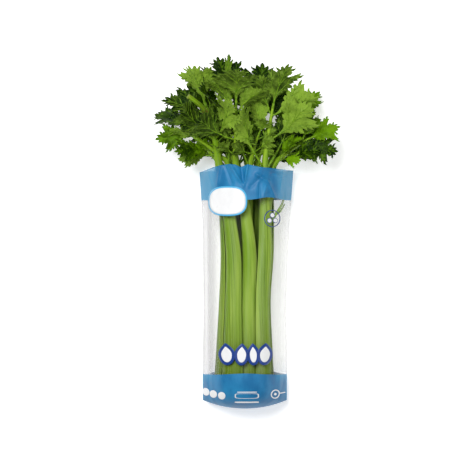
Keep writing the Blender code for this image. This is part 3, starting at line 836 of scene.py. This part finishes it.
def inside_points(outline, veins, spacing, draw):
    """Points spread over the inside of an outline, clear of its edge and of the veins."""
    edge = np.array([p[:] for p in outline])
    ahead = np.roll(edge, -1, axis=0)
    low, high = edge.min(axis=0), edge.max(axis=0)
    xs = np.arange(low[0], high[0], spacing)
    ys = np.arange(low[1], high[1], spacing * 0.87)
    grid = np.array([(x + (spacing / 2 if row % 2 else 0), y) for row, y in enumerate(ys) for x in xs])
    grid += np.array([[draw.uniform(-0.16, 0.16) * spacing for _ in range(2)] for _ in grid])
    x, y = grid[:, :1], grid[:, 1:]
    crosses = (edge[:, 1] > y) != (ahead[:, 1] > y)
    rise = ahead[:, 1] - edge[:, 1]
    rise[rise == 0] = 1e-12
    where = (ahead[:, 0] - edge[:, 0]) * (y - edge[:, 1]) / rise + edge[:, 0]
    inside = (crosses & (x < where)).sum(axis=1) % 2 == 1
    run = ahead - edge
    share = ((x - edge[:, 0]) * run[:, 0] + (y - edge[:, 1]) * run[:, 1]) / (run ** 2).sum(axis=1)
    share = share.clip(0, 1)
    far = np.hypot(x - edge[:, 0] - share * run[:, 0], y - edge[:, 1] - share * run[:, 1]).min(axis=1)
    marks = np.array([p[:] for p in veins])
    off_vein = np.hypot(x - marks[:, 0], y - marks[:, 1]).min(axis=1)
    kept = inside & (far > 0.42 * spacing) & (off_vein > 0.62 * spacing)
    return [Vector(p) for p in grid[kept]], marks


def blade(leaflet, seed, shell, shade):
    """The blade with its edge all round, quilted between its veins."""
    draw = random.Random(seed)
    spacing = LEAF_GRID / leaflet.length
    drift = draw.uniform(0, 90)
    outline = [warped(x, y, drift) for x, y in HALF_OUTLINE] + [warped(0.0, 1.0, drift)]
    outline += [warped(-x, y, drift) for x, y in reversed(HALF_OUTLINE)]
    flat, edges = list(outline), []
    vein_start = len(flat)
    for line in VEINS:
        for (ax, ay), (bx, by) in zip(line, line[1:]):
            a, b = warped(ax, ay, drift), warped(bx, by, drift)
            pieces = max(1, round((b - a).length / spacing))
            for k in range(pieces):
                edges.append((len(flat), len(flat) + 1))
                if k == 0:
                    flat.append(a.lerp(b, 0))
                flat.append(a.lerp(b, (k + 1) / pieces))
    vein_end = len(flat)
    spread, marks = inside_points(outline, flat[vein_start:vein_end], spacing, draw)
    flat += spread
    made = delaunay_2d_cdt(flat, edges, [list(range(len(outline)))], 1, 1e-7)
    places, faces = made[0], [tuple(f) for f in made[2]]
    on_vein = [any(vein_start <= k < vein_end for k in source) for source in made[3]]
    middle, ways = [], []
    for place, held in zip(places, on_vein):
        point, way = leaflet.at(place.x, place.y), leaflet.normal(place.x, place.y)
        if not held:
            gap = np.hypot(marks[:, 0] - place.x, marks[:, 1] - place.y).min() * leaflet.length
            flutter = noise.noise(point * 130) * FLUTTER * smooth(abs(place.x) * 4)
            point = point + way * (PUFF * (1 - math.exp(-gap / PUFF_REACH)) + flutter)
        middle.append(point)
        ways.append(way)
    count = len(middle)
    points = [p + w * (side * BLADE / 2) for side in (1, -1) for p, w in zip(middle, ways)]
    closed = list(faces) + [tuple(count + k for k in reversed(f)) for f in faces]
    slots = [0] * len(faces) + [1] * len(faces)
    sides = {(f[k], f[(k + 1) % 3]) for f in faces for k in range(3)}
    for a, b in sorted(sides):
        if (b, a) not in sides:
            closed.append((b, a, count + a, count + b))
            slots.append(1)
    shell.add(points, closed, slots, vein=[float(v) for v in on_vein] * 2, shade=shade)
    for number, line in enumerate(VEINS):
        thick = VEIN_RADII[0 if number == 0 else 1 if number in MAIN_VEINS else 2]
        way = [warped(x, y, drift) for x, y in line]
        fine = catmull_rom([Vector((p.x, p.y, 0)) for p in way], 2)
        track = [leaflet.at(p.x, p.y) - leaflet.normal(p.x, p.y) * (BLADE / 2) for p in fine]
        thick *= min(1.0, leaflet.length / FULL_LEAFLET)
        radii = [thick * MM * (1 - 0.75 * k / (len(track) - 1)) for k in range(len(track))]
        shell.add(*sweep(track, radii, 6), 2, vein=1.0, shade=shade)


# Young leaflets low on a leaf's stem: mm past the sleeve's mouth, way across and lift in degrees,
# length in mm
YOUNG = {
    0: ((30, 52, 20, 24), (16, 38, -30, 20)),
    1: ((12, 40, 10, 32), (20, -42, 0, 30)),
    3: ((18, 46, 10, 30), (26, -50, 20, 26), (10, 12, 0, 30)),
    4: ((16, -42, 10, 30), (30, 46, 20, 26), (12, 10, 0, 30)),
    5: ((14, -44, -20, 24), (24, 50, -20, 26), (44, -46, 0, 24)),
    6: ((12, 34, 10, 28), (30, -40, 0, 30)),
    7: ((14, -40, 20, 26), (26, 48, 0, 24)),
    8: ((12, 44, 10, 26), (28, -46, 10, 24)),
    9: ((14, -34, 0, 26), (34, 40, 10, 28)),
    10: ((20, -48, 0, 24), (12, 46, -10, 26), (38, 44, 0, 22)),
    11: ((12, -36, 10, 26), (30, 42, 0, 26)),
}


# The same, but with their run and upper side given, and how slender they are
TURNED = {
    1: ((3, (0.10, 1, 0.10), (0, 0, 1), 36, 1), (5, (-0.5, 1, 0.05), (0, 0, 1), 34, 1)),
    3: ((2, (-0.36, 1, 0.0), (0.1, 0, -1), 28, 1), (6, (-0.9, 1, -0.1), (0.2, 0, -1), 24, 1)),
    4: ((3, (0.34, 1, -0.05), (0, 0, 1), 30, 1),),
    6: ((2, (-0.12, 1, 0.0), (0, 0, -1), 32, 1), (108, (0.14, 1, 0.12), (0.1, 0, -1), 38, 0.42)),
    7: ((3, (0.85, 1, 0.0), (0, 0.1, -1), 28, 1),),
    9: ((2, (0.14, 1, 0.05), (0, 0, -1), 32, 1),),
}
# How much paler some leaves are
LEAF_TONES = {0: 0.08, 3: 0.18, 8: 0.14, 5: -0.34, 6: -0.12, 10: -0.20, 11: -0.20, 1: -0.14}


def turned_leaflet(grown, spot, draw):
    """The start of such a leaflet's stem, and the leaflet."""
    distance, way, upper, length, slender = spot
    start = grown.frame(grown.stalk.crown + distance * MM)[0]
    way = Vector(way).normalized()
    made = Leaflet(start + way * 8 * MM, way, Vector(upper), length * MM, draw)
    made.wide *= slender
    return start, made


def young_leaflet(grown, spot, draw):
    """The start of a young leaflet's stem, and the leaflet."""
    distance, across, lift, length = spot
    start, run, upper = grown.frame(grown.stalk.crown + distance * MM)
    way = Matrix.Rotation(math.radians(across), 3, upper) @ run
    way = Matrix.Rotation(math.radians(lift), 3, run.cross(upper)) @ way
    return start, Leaflet(start + way * 9 * MM, way, upper + way * 0.3, length * MM, draw)


def leaf(grown, materials):
    """One compound leaf: its leaflets as blades, each with its stem."""
    shell = Shell()
    stalk = grown.stalk
    draw = random.Random(900 + stalk.index)
    grown_all = [(*leaflet, False) for leaflet in grown.leaflets]
    for table, grow, seed in ((YOUNG, young_leaflet, 7), (TURNED, turned_leaflet, 3)):
        for spot in table.get(stalk.index, ()):
            start, leaflet = grow(grown, spot, random.Random(seed + spot[0] + stalk.index))
            grown_all.append((2, start, leaflet, True))
    for number, (pair, start, leaflet, young) in enumerate(grown_all):
        # Leaflets that lie low are made darker: painted shade for the shade that falls under the leaves
        # above them
        low = 1 - smooth((leaflet.at(0, 0.5).z - 8 * MM) / (78 * MM))
        shade = draw.choice(LEAF_SHADES) + draw.gauss(0, 0.08) - 0.26 * low
        shade = min(1.0, max(0.0, shade + LEAF_TONES.get(stalk.index, 0)))
        blade(leaflet, 100 * stalk.index + number, shell, shade)
        thick = STEM_RADII[pair] * MM * stalk.size * (0.7 if young else 1)
        end, joint = leaflet.at(0, 0.03), leaflet.at(0, 0.14)
        lift = leaflet.normal(0, 0.1) * 0.4 * MM
        line = catmull_rom([start, start.lerp(end, 0.45) - lift * 2, end - lift, joint - lift], 5)
        radii = [thick * (1 - 0.45 * k / (len(line) - 1)) for k in range(len(line))]
        shell.add(*sweep(line, radii, 12, 0.10, 5), 2, vein=1.0, shade=shade)
    made = shell.made(f"leaf_{stalk.index + 1}_fine", materials)
    faced_out(made)
    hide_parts(f"leaf_{stalk.index + 1}")


# The butt

# The cut face from its middle out, then the side: shares of the radius and of the depth
BUTT_PROFILE = (
    (0.0, 0.0), (0.35, 0.0), (0.62, 0.0), (0.84, 0.0), (0.90, 0.06), (0.93, 0.2), (0.97, 0.5),
    (1.0, 0.85), (1.0, 1.0),
)


def butt(material):
    """The root crown, cut across: an uneven disc whose rim follows the stalks' feet."""
    shell = Shell()
    rings, sides = 16, 72
    points, faces = [], []
    for k in range(rings):
        share = k / (rings - 1) * (len(BUTT_PROFILE) - 1)
        low = min(int(share), len(BUTT_PROFILE) - 2)
        (ra, ya), (rb, yb) = BUTT_PROFILE[low], BUTT_PROFILE[low + 1]
        out, deep = ra + (rb - ra) * (share - low), ya + (yb - ya) * (share - low)
        for angle in circle(sides):
            scallop = 1 - 0.045 * (1 - abs(math.cos(2.5 * angle + 0.6))) * smooth(out)
            radius = max(out, 0.02) * (BUTT_RADIUS + 1.5 * MM * deep) * scallop
            x, z = radius * math.cos(angle), radius * math.sin(angle)
            rings_cut = 0.5 * MM * math.sin(radius * 900) * (1 - deep)
            relief = noise.noise(Vector((x * 90, z * 90, 0))) * 0.7 * MM + rings_cut
            y = BUTT_Y + 0.8 * MM + deep * (BUTT_DEPTH - 0.9 * MM) + relief * (1 - deep)
            points.append(Vector((x, y, AXIS_Z + z)))
    for k in range(rings - 1):
        for j in range(sides):
            a, b = k * sides + j, k * sides + (j + 1) % sides
            faces.append((a, a + sides, b + sides, b))
    faces.append(tuple(range(sides)))
    faces.append(tuple(reversed(range((rings - 1) * sides, rings * sides))))
    shell.add(points, faces, 0)
    made = shell.made("butt_cut", [material])
    faced_out(made)
    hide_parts("butt")


# The sleeve

def half_width(y):
    """Half the sleeve's width at a place along it."""
    stops = (
        (SLEEVE_BOTTOM_Y, SLEEVE_BOTTOM_WIDTH), (-0.12, SLEEVE_BOTTOM_WIDTH), (-0.02, SLEEVE_WAIST_WIDTH),
        (0.08, SLEEVE_WAIST_WIDTH + 5 * MM), (SLEEVE_MOUTH_Y, SLEEVE_MOUTH_WIDTH),
    )
    return between(y, stops) / 2


def film_shift(y):
    """How far the film's middle lies to the right, more so towards the mouth."""
    return 2 * MM * smooth((y + 0.02) / 0.16)


# How far the front film's rim lies above its plain arc, across the mouth, in mm
RIM = (
    (-1.0, 0.0), (-0.86, 1.2), (-0.70, 3.0), (-0.52, 4.4), (-0.36, 4.6), (-0.24, 3.6), (-0.13, 0.2),
    (-0.06, 1.6), (0.02, 3.4), (0.12, 2.2), (0.3, 0.2), (0.5, 0.4), (0.68, 0.2), (0.86, 0.3), (1.0, 0.0),
)


def film_ends(across, front):
    """Where the film's bottom and its mouth lie. Both are arcs, and the mouth is uneven."""
    edge = abs(across)
    bottom = SLEEVE_BOTTOM_Y + SLEEVE_BOTTOM_ARC * edge ** 2
    mouth = SLEEVE_MOUTH_Y - SLEEVE_MOUTH_ARC * edge ** 2
    if front:
        mouth += between(across, RIM) * MM
    else:
        mouth += 0.8 * MM * math.sin(5.2 * across + 0.6) * (1 - edge ** 4)
    mouth += (1.0 if across < 0 else 3.2) * MM * edge ** 5
    return bottom, mouth


# Folds of the film: from and to in pixels of the photograph, how wide and how high in mm
FOLDS = (
    ((240.5, 163), (243.5, 185), 3.4, -5.0),
    ((233, 170), (243, 185.5), 1.6, 3.4),
    ((248, 163), (243.8, 185.5), 1.7, 4.0),
    ((220.5, 164), (217.5, 184), 1.9, 2.8),
    ((225, 165), (232, 184), 2.2, -2.6),
    ((229, 163), (238, 179), 1.5, 2.2),
    ((256, 175), (268, 182.5), 2.0, 3.2),
    ((268, 182.5), (275, 198), 2.0, 3.2),
    ((271, 174), (285, 177), 2.2, -2.8),
    ((260, 168), (278, 171), 2.6, 2.0),
    ((259.5, 183), (259, 200), 1.6, -2.2),
    ((266, 186), (263, 199), 2.2, 1.8),
    ((250, 188), (262, 176), 2.4, -1.8),
    ((206, 168), (212, 188), 2.2, 1.6),
    ((284, 168), (280, 190), 1.8, 1.5),
    ((203, 215), (204, 372), 2.6, 2.4),
    ((208.5, 205), (209, 376), 3.0, -2.6),
    ((213.5, 222), (212, 372), 2.2, 2.2),
    ((281, 230), (280, 374), 2.2, 2.4),
    ((284.5, 205), (284, 376), 2.2, -2.4),
    ((288, 215), (286.5, 372), 1.8, 2.0),
    ((205, 380), (214, 404), 2.4, 1.4),
    ((222, 402), (232, 408), 2.0, 1.4),
    ((262, 408), (276, 398), 2.2, 1.3),
    ((284, 382), (278, 402), 2.0, -1.3),
)


def photo_place(px, py):
    """Where a pixel of the photograph lies, across and along."""
    return (px - PHOTO_ORIGIN[0]) * PX, (PHOTO_ORIGIN[1] - py) * PX


def fold_height(x, y):
    """How far the folds lift the film at a place."""
    total = 0.0
    for start, end, wide, high in FOLDS:
        (ax, ay), (bx, by) = photo_place(*start), photo_place(*end)
        run_x, run_y = bx - ax, by - ay
        span = run_x * run_x + run_y * run_y
        share = min(max(((x - ax) * run_x + (y - ay) * run_y) / span, -0.2), 1.2)
        off = math.hypot(x - ax - share * run_x, y - ay - share * run_y) / (wide * MM)
        if off < 5:
            fade = smooth((share + 0.2) / 0.3) * smooth((1.2 - share) / 0.3)
            ridge = 0.5 / (1 + off * off) + 0.6 * math.exp(-1.4 * off)
            total += high * MM * fade * ridge * math.exp(-0.12 * off * off)
    return total


def room_below(x, y, front):
    """How far the film may sag towards the stalks before it meets them."""
    if not front:
        return 0.0
    beside = smooth((abs(x) - 37 * MM) / (9 * MM))
    above = smooth((y - 92 * MM) / (22 * MM))
    return 5 * MM * max(beside, above)


def film_point(across, along, front):
    """A point of the film: across from -1 to 1 between the creases, along from bottom to mouth."""
    edge = abs(across)
    bottom, mouth = film_ends(across, front)
    y = bottom + (mouth - bottom) * along
    full = 1 - max(0.0, 1 - (y - bottom) / SLEEVE_BLUNT_END) ** FILM_BLUNTNESS
    full = full ** (1 / FILM_BLUNTNESS)
    x = across * half_width(y) + film_shift(y)
    crease = SLEEVE_CREASE_Z - 5 * MM * (1 - full)
    seal = SLEEVE_SEAL * min(1.0, (1 - edge) / 0.014)
    soft = min(1.0, (1 - edge) / 0.12) * min(1.0, full * 1.4)
    slow = noise.noise(Vector((x * 26, y * 9, 3.7 if front else 8.1)))
    if front:
        bulge = (1 - edge ** FILM_SHOULDER) * full
        fold = 1.8 * MM * math.sin(13 * across + 9 * y / 0.3) * edge * (1 - edge ** 6) * full
        waves = (fold_height(x, y) + 1.1 * MM * slow) * soft
        waves = max(waves, -room_below(x, y, True))
        return Vector((x, y, crease + seal + (SLEEVE_TOP_Z - crease) * bulge + fold + waves))
    lie = smooth((edge - SLEEVE_FLAT_SHARE) / (1 - SLEEVE_FLAT_SHARE)) * full + (1 - full)
    waves = 1.2 * MM * slow * soft * smooth((edge - SLEEVE_FLAT_SHARE) * 4)
    return Vector((x, y, max(0.0, (crease - seal) * lie + waves)))


def band_edges(across, front):
    """How far along the film the low band ends and the top band starts. Both edges are arcs."""
    bottom, mouth = film_ends(across, front)
    edge = abs(across)
    if front:
        low = -115.2 * MM + 5.2 * MM * (1 - edge ** 1.6)
        high = 112.8 * MM + 3.4 * MM * math.exp(-((across - 0.48) / 0.26) ** 2)
    else:
        low = -111.0 * MM - 5.0 * MM * edge ** 2
        high = 113.5 * MM
    return (low - bottom) / (mouth - bottom), (high - bottom) / (mouth - bottom)


def film_along(row, across, front):
    """How far along a row lies: rows of the low band first, then of the clear part and the top band."""
    low, high = band_edges(across, front)
    if row <= LOW_ROWS:
        return low * (row / LOW_ROWS) ** 1.5
    if row <= LOW_ROWS + CLEAR_ROWS:
        return low + (high - low) * (row - LOW_ROWS) / CLEAR_ROWS
    return high + (1 - high) * (row - LOW_ROWS - CLEAR_ROWS) / TOP_ROWS


def film_slack(point):
    """How loose the film hangs, 0 on the stalks and 1 beside them. Its creases carry more still."""
    off = point.x - film_shift(point.y)
    edge = abs(off) / half_width(point.y)
    loose = smooth((abs(off) - 32 * MM) / (17 * MM))
    on_band = between(point.y, ((-0.125, 0.2), (-0.112, 1.0)))
    return on_band * loose + 1.3 * smooth((edge - 0.965) / 0.03)


def sleeve(materials):
    """The film as a thin wall: a flattened tube, closed along its bottom."""
    acrosses = []
    for k in range(FILM_COLUMNS + 1):
        even, crowded = 2 * k / FILM_COLUMNS - 1, -math.cos(math.pi * k / FILM_COLUMNS)
        acrosses.append(0.6 * even + 0.4 * crowded)
    count = 2 * FILM_COLUMNS
    points, slots = [], []
    for row in range(FILM_ROWS + 1):
        points += [film_point(a, film_along(row, a, True), True) for a in acrosses]
        points += [film_point(a, film_along(row, a, False), False) for a in reversed(acrosses[1:-1])]
    faces = tube_faces(FILM_ROWS, count, closed=False)
    for row in range(FILM_ROWS):
        slots += [0 if LOW_ROWS <= row < LOW_ROWS + CLEAR_ROWS else 1] * count
    for k in range(FILM_COLUMNS):
        corners = []
        for corner in (k, (count - k) % count, (count - k - 1) % count, k + 1):
            if corner not in corners:
                corners.append(corner)
        faces.append(tuple(corners))
        slots.append(1)
    shell = Shell()
    slack = [film_slack(p) for p in points]
    # The film is hazier on the left, where it is more crinkled. On the right the haze is thinned: painted
    # light that lightens the side where the shadow falls
    crinkle = [1.25 - 0.75 * smooth((p.x + 20 * MM) / (40 * MM)) for p in points]
    shell.add(points, faces, slots, slack=slack, crinkle=crinkle)
    made = shell.made("film_sleeve", materials)
    wall = made.modifiers.new("film", "SOLIDIFY")
    wall.thickness = FILM
    wall.offset = -1
    wall.material_offset = 2
    apply_modifiers(made)
    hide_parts("sleeve")


def apply_modifiers(made):
    """Keeps the mesh that the modifiers make, and drops them."""
    bpy.context.view_layer.update()
    graph = bpy.context.evaluated_depsgraph_get()
    mesh = bpy.data.meshes.new_from_object(made.evaluated_get(graph))
    made.modifiers.clear()
    made.data = mesh


def film_spot(x, y):
    """The point of the front film at a place, and the way it faces there."""
    def point(px, py):
        across = (px - film_shift(py)) / half_width(py)
        across = min(max(across, -0.999), 0.999)
        bottom, mouth = film_ends(across, True)
        return film_point(across, (py - bottom) / (mouth - bottom), True)
    step = 0.4 * MM
    here = point(x, y)
    wide = point(x + step, y) - point(x - step, y)
    far = point(x, y + step) - point(x, y - step)
    return here, wide.cross(far).normalized()


def printed(shell, middle, outline, hole, ink, layer=1):
    """A thin printed shape on the film, from its outline in to its middle or to a like hole."""
    sides = len(outline)
    rings = 2 if hole > 0.6 else 9
    tops, lows = [], []
    for k in range(rings + 1):
        share = 1 - (1 - hole) * k / rings
        for ox, oy in outline:
            point, way = film_spot(middle[0] + ox * share, middle[1] + oy * share)
            tops.append(point + way * (0.10 + 0.10 * layer) * MM)
            lows.append(point - way * 0.1 * MM)
            if hole == 0 and k == rings:
                break
    faces = []
    count = len(tops)
    for k in range(rings):
        for j in range(sides):
            a, b = k * sides + j, k * sides + (j + 1) % sides
            c, d = (a + sides, b + sides) if (k + 1 < rings or hole > 0) else (count - 1, count - 1)
            faces.append((a, b, d, c) if c != d else (a, b, c))
    under = [tuple(count + k for k in reversed(f)) for f in faces]
    rims = [list(range(sides))]
    if hole > 0:
        rims.append(list(reversed(range(rings * sides, (rings + 1) * sides))))
    walls = []
    for rim in rims:
        for j in range(sides):
            a, b = rim[j], rim[(j + 1) % sides]
            walls.append((b, a, count + a, count + b))
    shell.add(tops + lows, faces + under + walls, ink)


def oval(wide, high, power=2.0, sides=72):
    """An outline between an oval and a rounded box, in metres from half sizes in pixels."""
    points = []
    for angle in circle(sides):
        c, s = math.cos(angle), math.sin(angle)
        points.append((
            wide * PX * math.copysign(abs(c) ** (2 / power), c),
            high * PX * math.copysign(abs(s) ** (2 / power), s),
        ))
    return points


def drop(wide, high, lean, sides=64):
    """A plain upright leaf shape, pointed at its top."""
    points = []
    for angle in circle(sides):
        up = math.sin(angle)
        narrow = (1 - max(0.0, up) ** 2.2) if up > 0 else 1.0
        x, y = wide * math.cos(angle) * (0.35 + 0.65 * narrow), high * up
        c, s = math.cos(lean), math.sin(lean)
        points.append(((x * c - y * s) * PX, (x * s + y * c) * PX))
    return points


WHITE, SKY, NAVY = 0, 1, 2
# Printed shapes: middle in pixels of the photograph, half sizes in pixels with how boxy the shape
# is and how many points it has, share of its hole, ink, and layer
UPPER_PRINTS = (
    ((227.6, 201.4), (19.4, 14.8, 2.7, 96), 0.86, SKY, 1),
    ((227.6, 201.4), (17.8, 13.2, 2.7, 96), 0, WHITE, 3),
    ((272.0, 218.6), (8.2, 8.6), 0.90, NAVY, 1),
    ((272.0, 215.4), (2.6, 2.6, 2.0, 32), 0, NAVY, 1),
    ((272.0, 215.4), (2.0, 2.0, 2.0, 32), 0, WHITE, 2),
    ((269.0, 220.6), (2.6, 2.6, 2.0, 32), 0, NAVY, 1),
    ((269.0, 220.6), (2.0, 2.0, 2.0, 32), 0, WHITE, 2),
    ((275.0, 220.6), (2.6, 2.6, 2.0, 32), 0, NAVY, 1),
    ((275.0, 220.6), (2.0, 2.0, 2.0, 32), 0, WHITE, 2),
)
LOW_PRINTS = (
    ((205.8, 392.9), (3.6, 3.9), 0, WHITE, 1),
    ((213.4, 393.9), (3.6, 3.9), 0, WHITE, 1),
    ((221.8, 394.6), (3.6, 3.9), 0, WHITE, 1),
    ((246.7, 394.2), (12.0, 2.6, 5, 96), 0.90, WHITE, 1),
    ((246.7, 400.9), (12.0, 0.7, 6), 0, WHITE, 1),
    ((246.9, 390.2), (9.8, 0.42, 6), 0, WHITE, 1),
    ((275.2, 393.8), (4.6, 4.7), 0.78, WHITE, 1),
    ((275.2, 393.8), (1.3, 1.3, 2.0, 24), 0, WHITE, 1),
    ((282.6, 393.6), (3.2, 0.5, 6), 0, WHITE, 1),
)
# Pointed shapes across the front: across, half width and lean, then the rows of their navy and
# white layers, all but the lean in pixels
POINTED_PRINTS = ((226.6, 7.2, 0.12), (241.5, 6.4, -0.05), (253.0, 5.4, 0.06), (264.6, 6.9, -0.1))
POINTED_NAVY_Y, POINTED_WHITE_Y = 352.8, 353.1


def print_ovals(shell, prints):
    """The shapes of one table, in its order."""
    for middle, form, hole, ink, layer in prints:
        printed(shell, photo_place(*middle), oval(*form), hole, ink, layer)


def print_on_film(materials):
    """Plain printed shapes where the photograph has a label, lettering and small marks."""
    shell = Shell()
    print_ovals(shell, UPPER_PRINTS)
    for px, wide, lean in POINTED_PRINTS:
        printed(shell, photo_place(px, POINTED_NAVY_Y), drop(wide + 1.0, 10.9, lean), 0, NAVY)
        printed(shell, photo_place(px, POINTED_WHITE_Y), drop(wide - 2.0, 7.7, lean), 0, WHITE, 2)
    print_ovals(shell, LOW_PRINTS)
    made = shell.made("film_print", materials)


def print_material(name, colour):
    """Opaque ink, a little uneven."""
    made = Shade(name)
    cloud = made.noise(made.place(120, 90, 120), 4, 0.6)
    worn = tuple(0.95 * c for c in colour)
    made.set(Base_Color=made.mix(made.span(cloud, 0.35, 0.75), colour, worn))
    made.set(Roughness=made.span(cloud, 0.2, 0.8, 0.26, 0.40))
    made.bump(cloud, 0.25 * MM, 0.4)
    return made.material


# The stage

def floor():
    """A wide pale floor just under the sleeve."""
    mesh = bpy.data.meshes.new("floor")
    reach, low = 5.0, -0.6 * MM
    corners = [(x * reach, y * reach, low) for x, y in ((-1, -1), (1, -1), (1, 1), (-1, 1))]
    mesh.from_pydata(corners, [], [(0, 1, 2, 3)])
    made = bpy.data.objects.new("floor", mesh)
    bpy.context.scene.collection.objects.link(made)
    shade = Shade("floor_pale")
    shade.set(Base_Color=(0.93, 0.93, 0.93, 1), Roughness=0.9)
    shade.set(Emission_Color=(1, 1, 1, 1), Emission_Strength=0.44)
    mesh.materials.append(shade.material)


def area_light(name, place, target, size, power):
    data = bpy.data.lights.new(name, "AREA")
    data.shape = "DISK"
    data.size = size
    data.energy = power
    lamp = bpy.data.objects.new(name, data)
    lamp.location = place
    lamp.rotation_mode = "QUATERNION"
    lamp.rotation_quaternion = (Vector(target) - Vector(place)).to_track_quat("-Z", "Y")
    bpy.context.scene.collection.objects.link(lamp)


def light():
    """An even white world, a key light from the upper left and a weaker one from the right."""
    world = bpy.data.worlds.new("studio")
    bpy.context.scene.world = world
    world.use_nodes = True
    back = world.node_tree.nodes["Background"]
    back.inputs["Color"].default_value = (1, 1, 1, 1)
    back.inputs["Strength"].default_value = 0.28
    area_light("key", (-0.42, 0.62, 1.65), (0, 0.08, 0.04), 0.9, 30)
    area_light("fill", (1.1, -0.5, 1.3), (0, 0.05, 0.04), 1.2, 6)


def camera():
    """Straight above, with the photograph's framing at the height of the head's middle."""
    data = bpy.data.cameras.new("camera")
    data.lens = 150
    distance = PHOTO_SIZE * PX * data.lens / data.sensor_width
    data.clip_start, data.clip_end = 0.05, 20
    made = bpy.data.objects.new("camera", data)
    made.location = (*photo_place(PHOTO_SIZE / 2, PHOTO_SIZE / 2), distance + HEAD_MIDDLE_Z)
    bpy.context.scene.collection.objects.link(made)
    bpy.context.scene.camera = made


def build():
    # noise_vector would else take its seed from the clock
    noise.seed_set(5)
    floor()
    light()
    camera()
    clear = clear_material("film_clear", 0.035, 0.26, 0.50)
    inner = clear_material("film_inner", 0.01, 0.01, 0.06)
    # The ink's deep and bright blues, then the paler blue painted as light showing through the loose film
    blues = (0.006, 0.130, 0.310), (0.016, 0.205, 0.425), (0.035, 0.315, 0.570)
    ink = ink_material("film_ink", *blues, 0.97, 0.76)
    sleeve([clear, ink, inner, inner])
    print_on_film([
        print_material("print_white", (0.78, 0.785, 0.79)),
        print_material("print_sky", (0.07, 0.40, 0.68)),
        print_material("print_navy", (0.002, 0.036, 0.22)),
    ])
    butt(butt_material())
    skin = stalk_material()
    for stalk in STALKS:
        stem(stalk, [skin])
    through = (0.13, 0.36, 0.004, 1)
    deep_greens = (0.0015, 0.012, 0.0002), (0.160, 0.340, 0.003), (0.14, 0.29, 0.006)
    dull_greens = (0.003, 0.020, 0.0006), (0.236, 0.388, 0.036), (0.26, 0.41, 0.06)
    upper = leaf_material("leaf_upper", *deep_greens, 0.40, through)
    under = leaf_material("leaf_under", *dull_greens, 0.55, through)
    rib = rib_material()
    for stalk in STALKS:
        leaf(Leaf(stalk), [upper, under, rib])


build()
bpy.context.scene.view_settings.view_transform = "Standard"
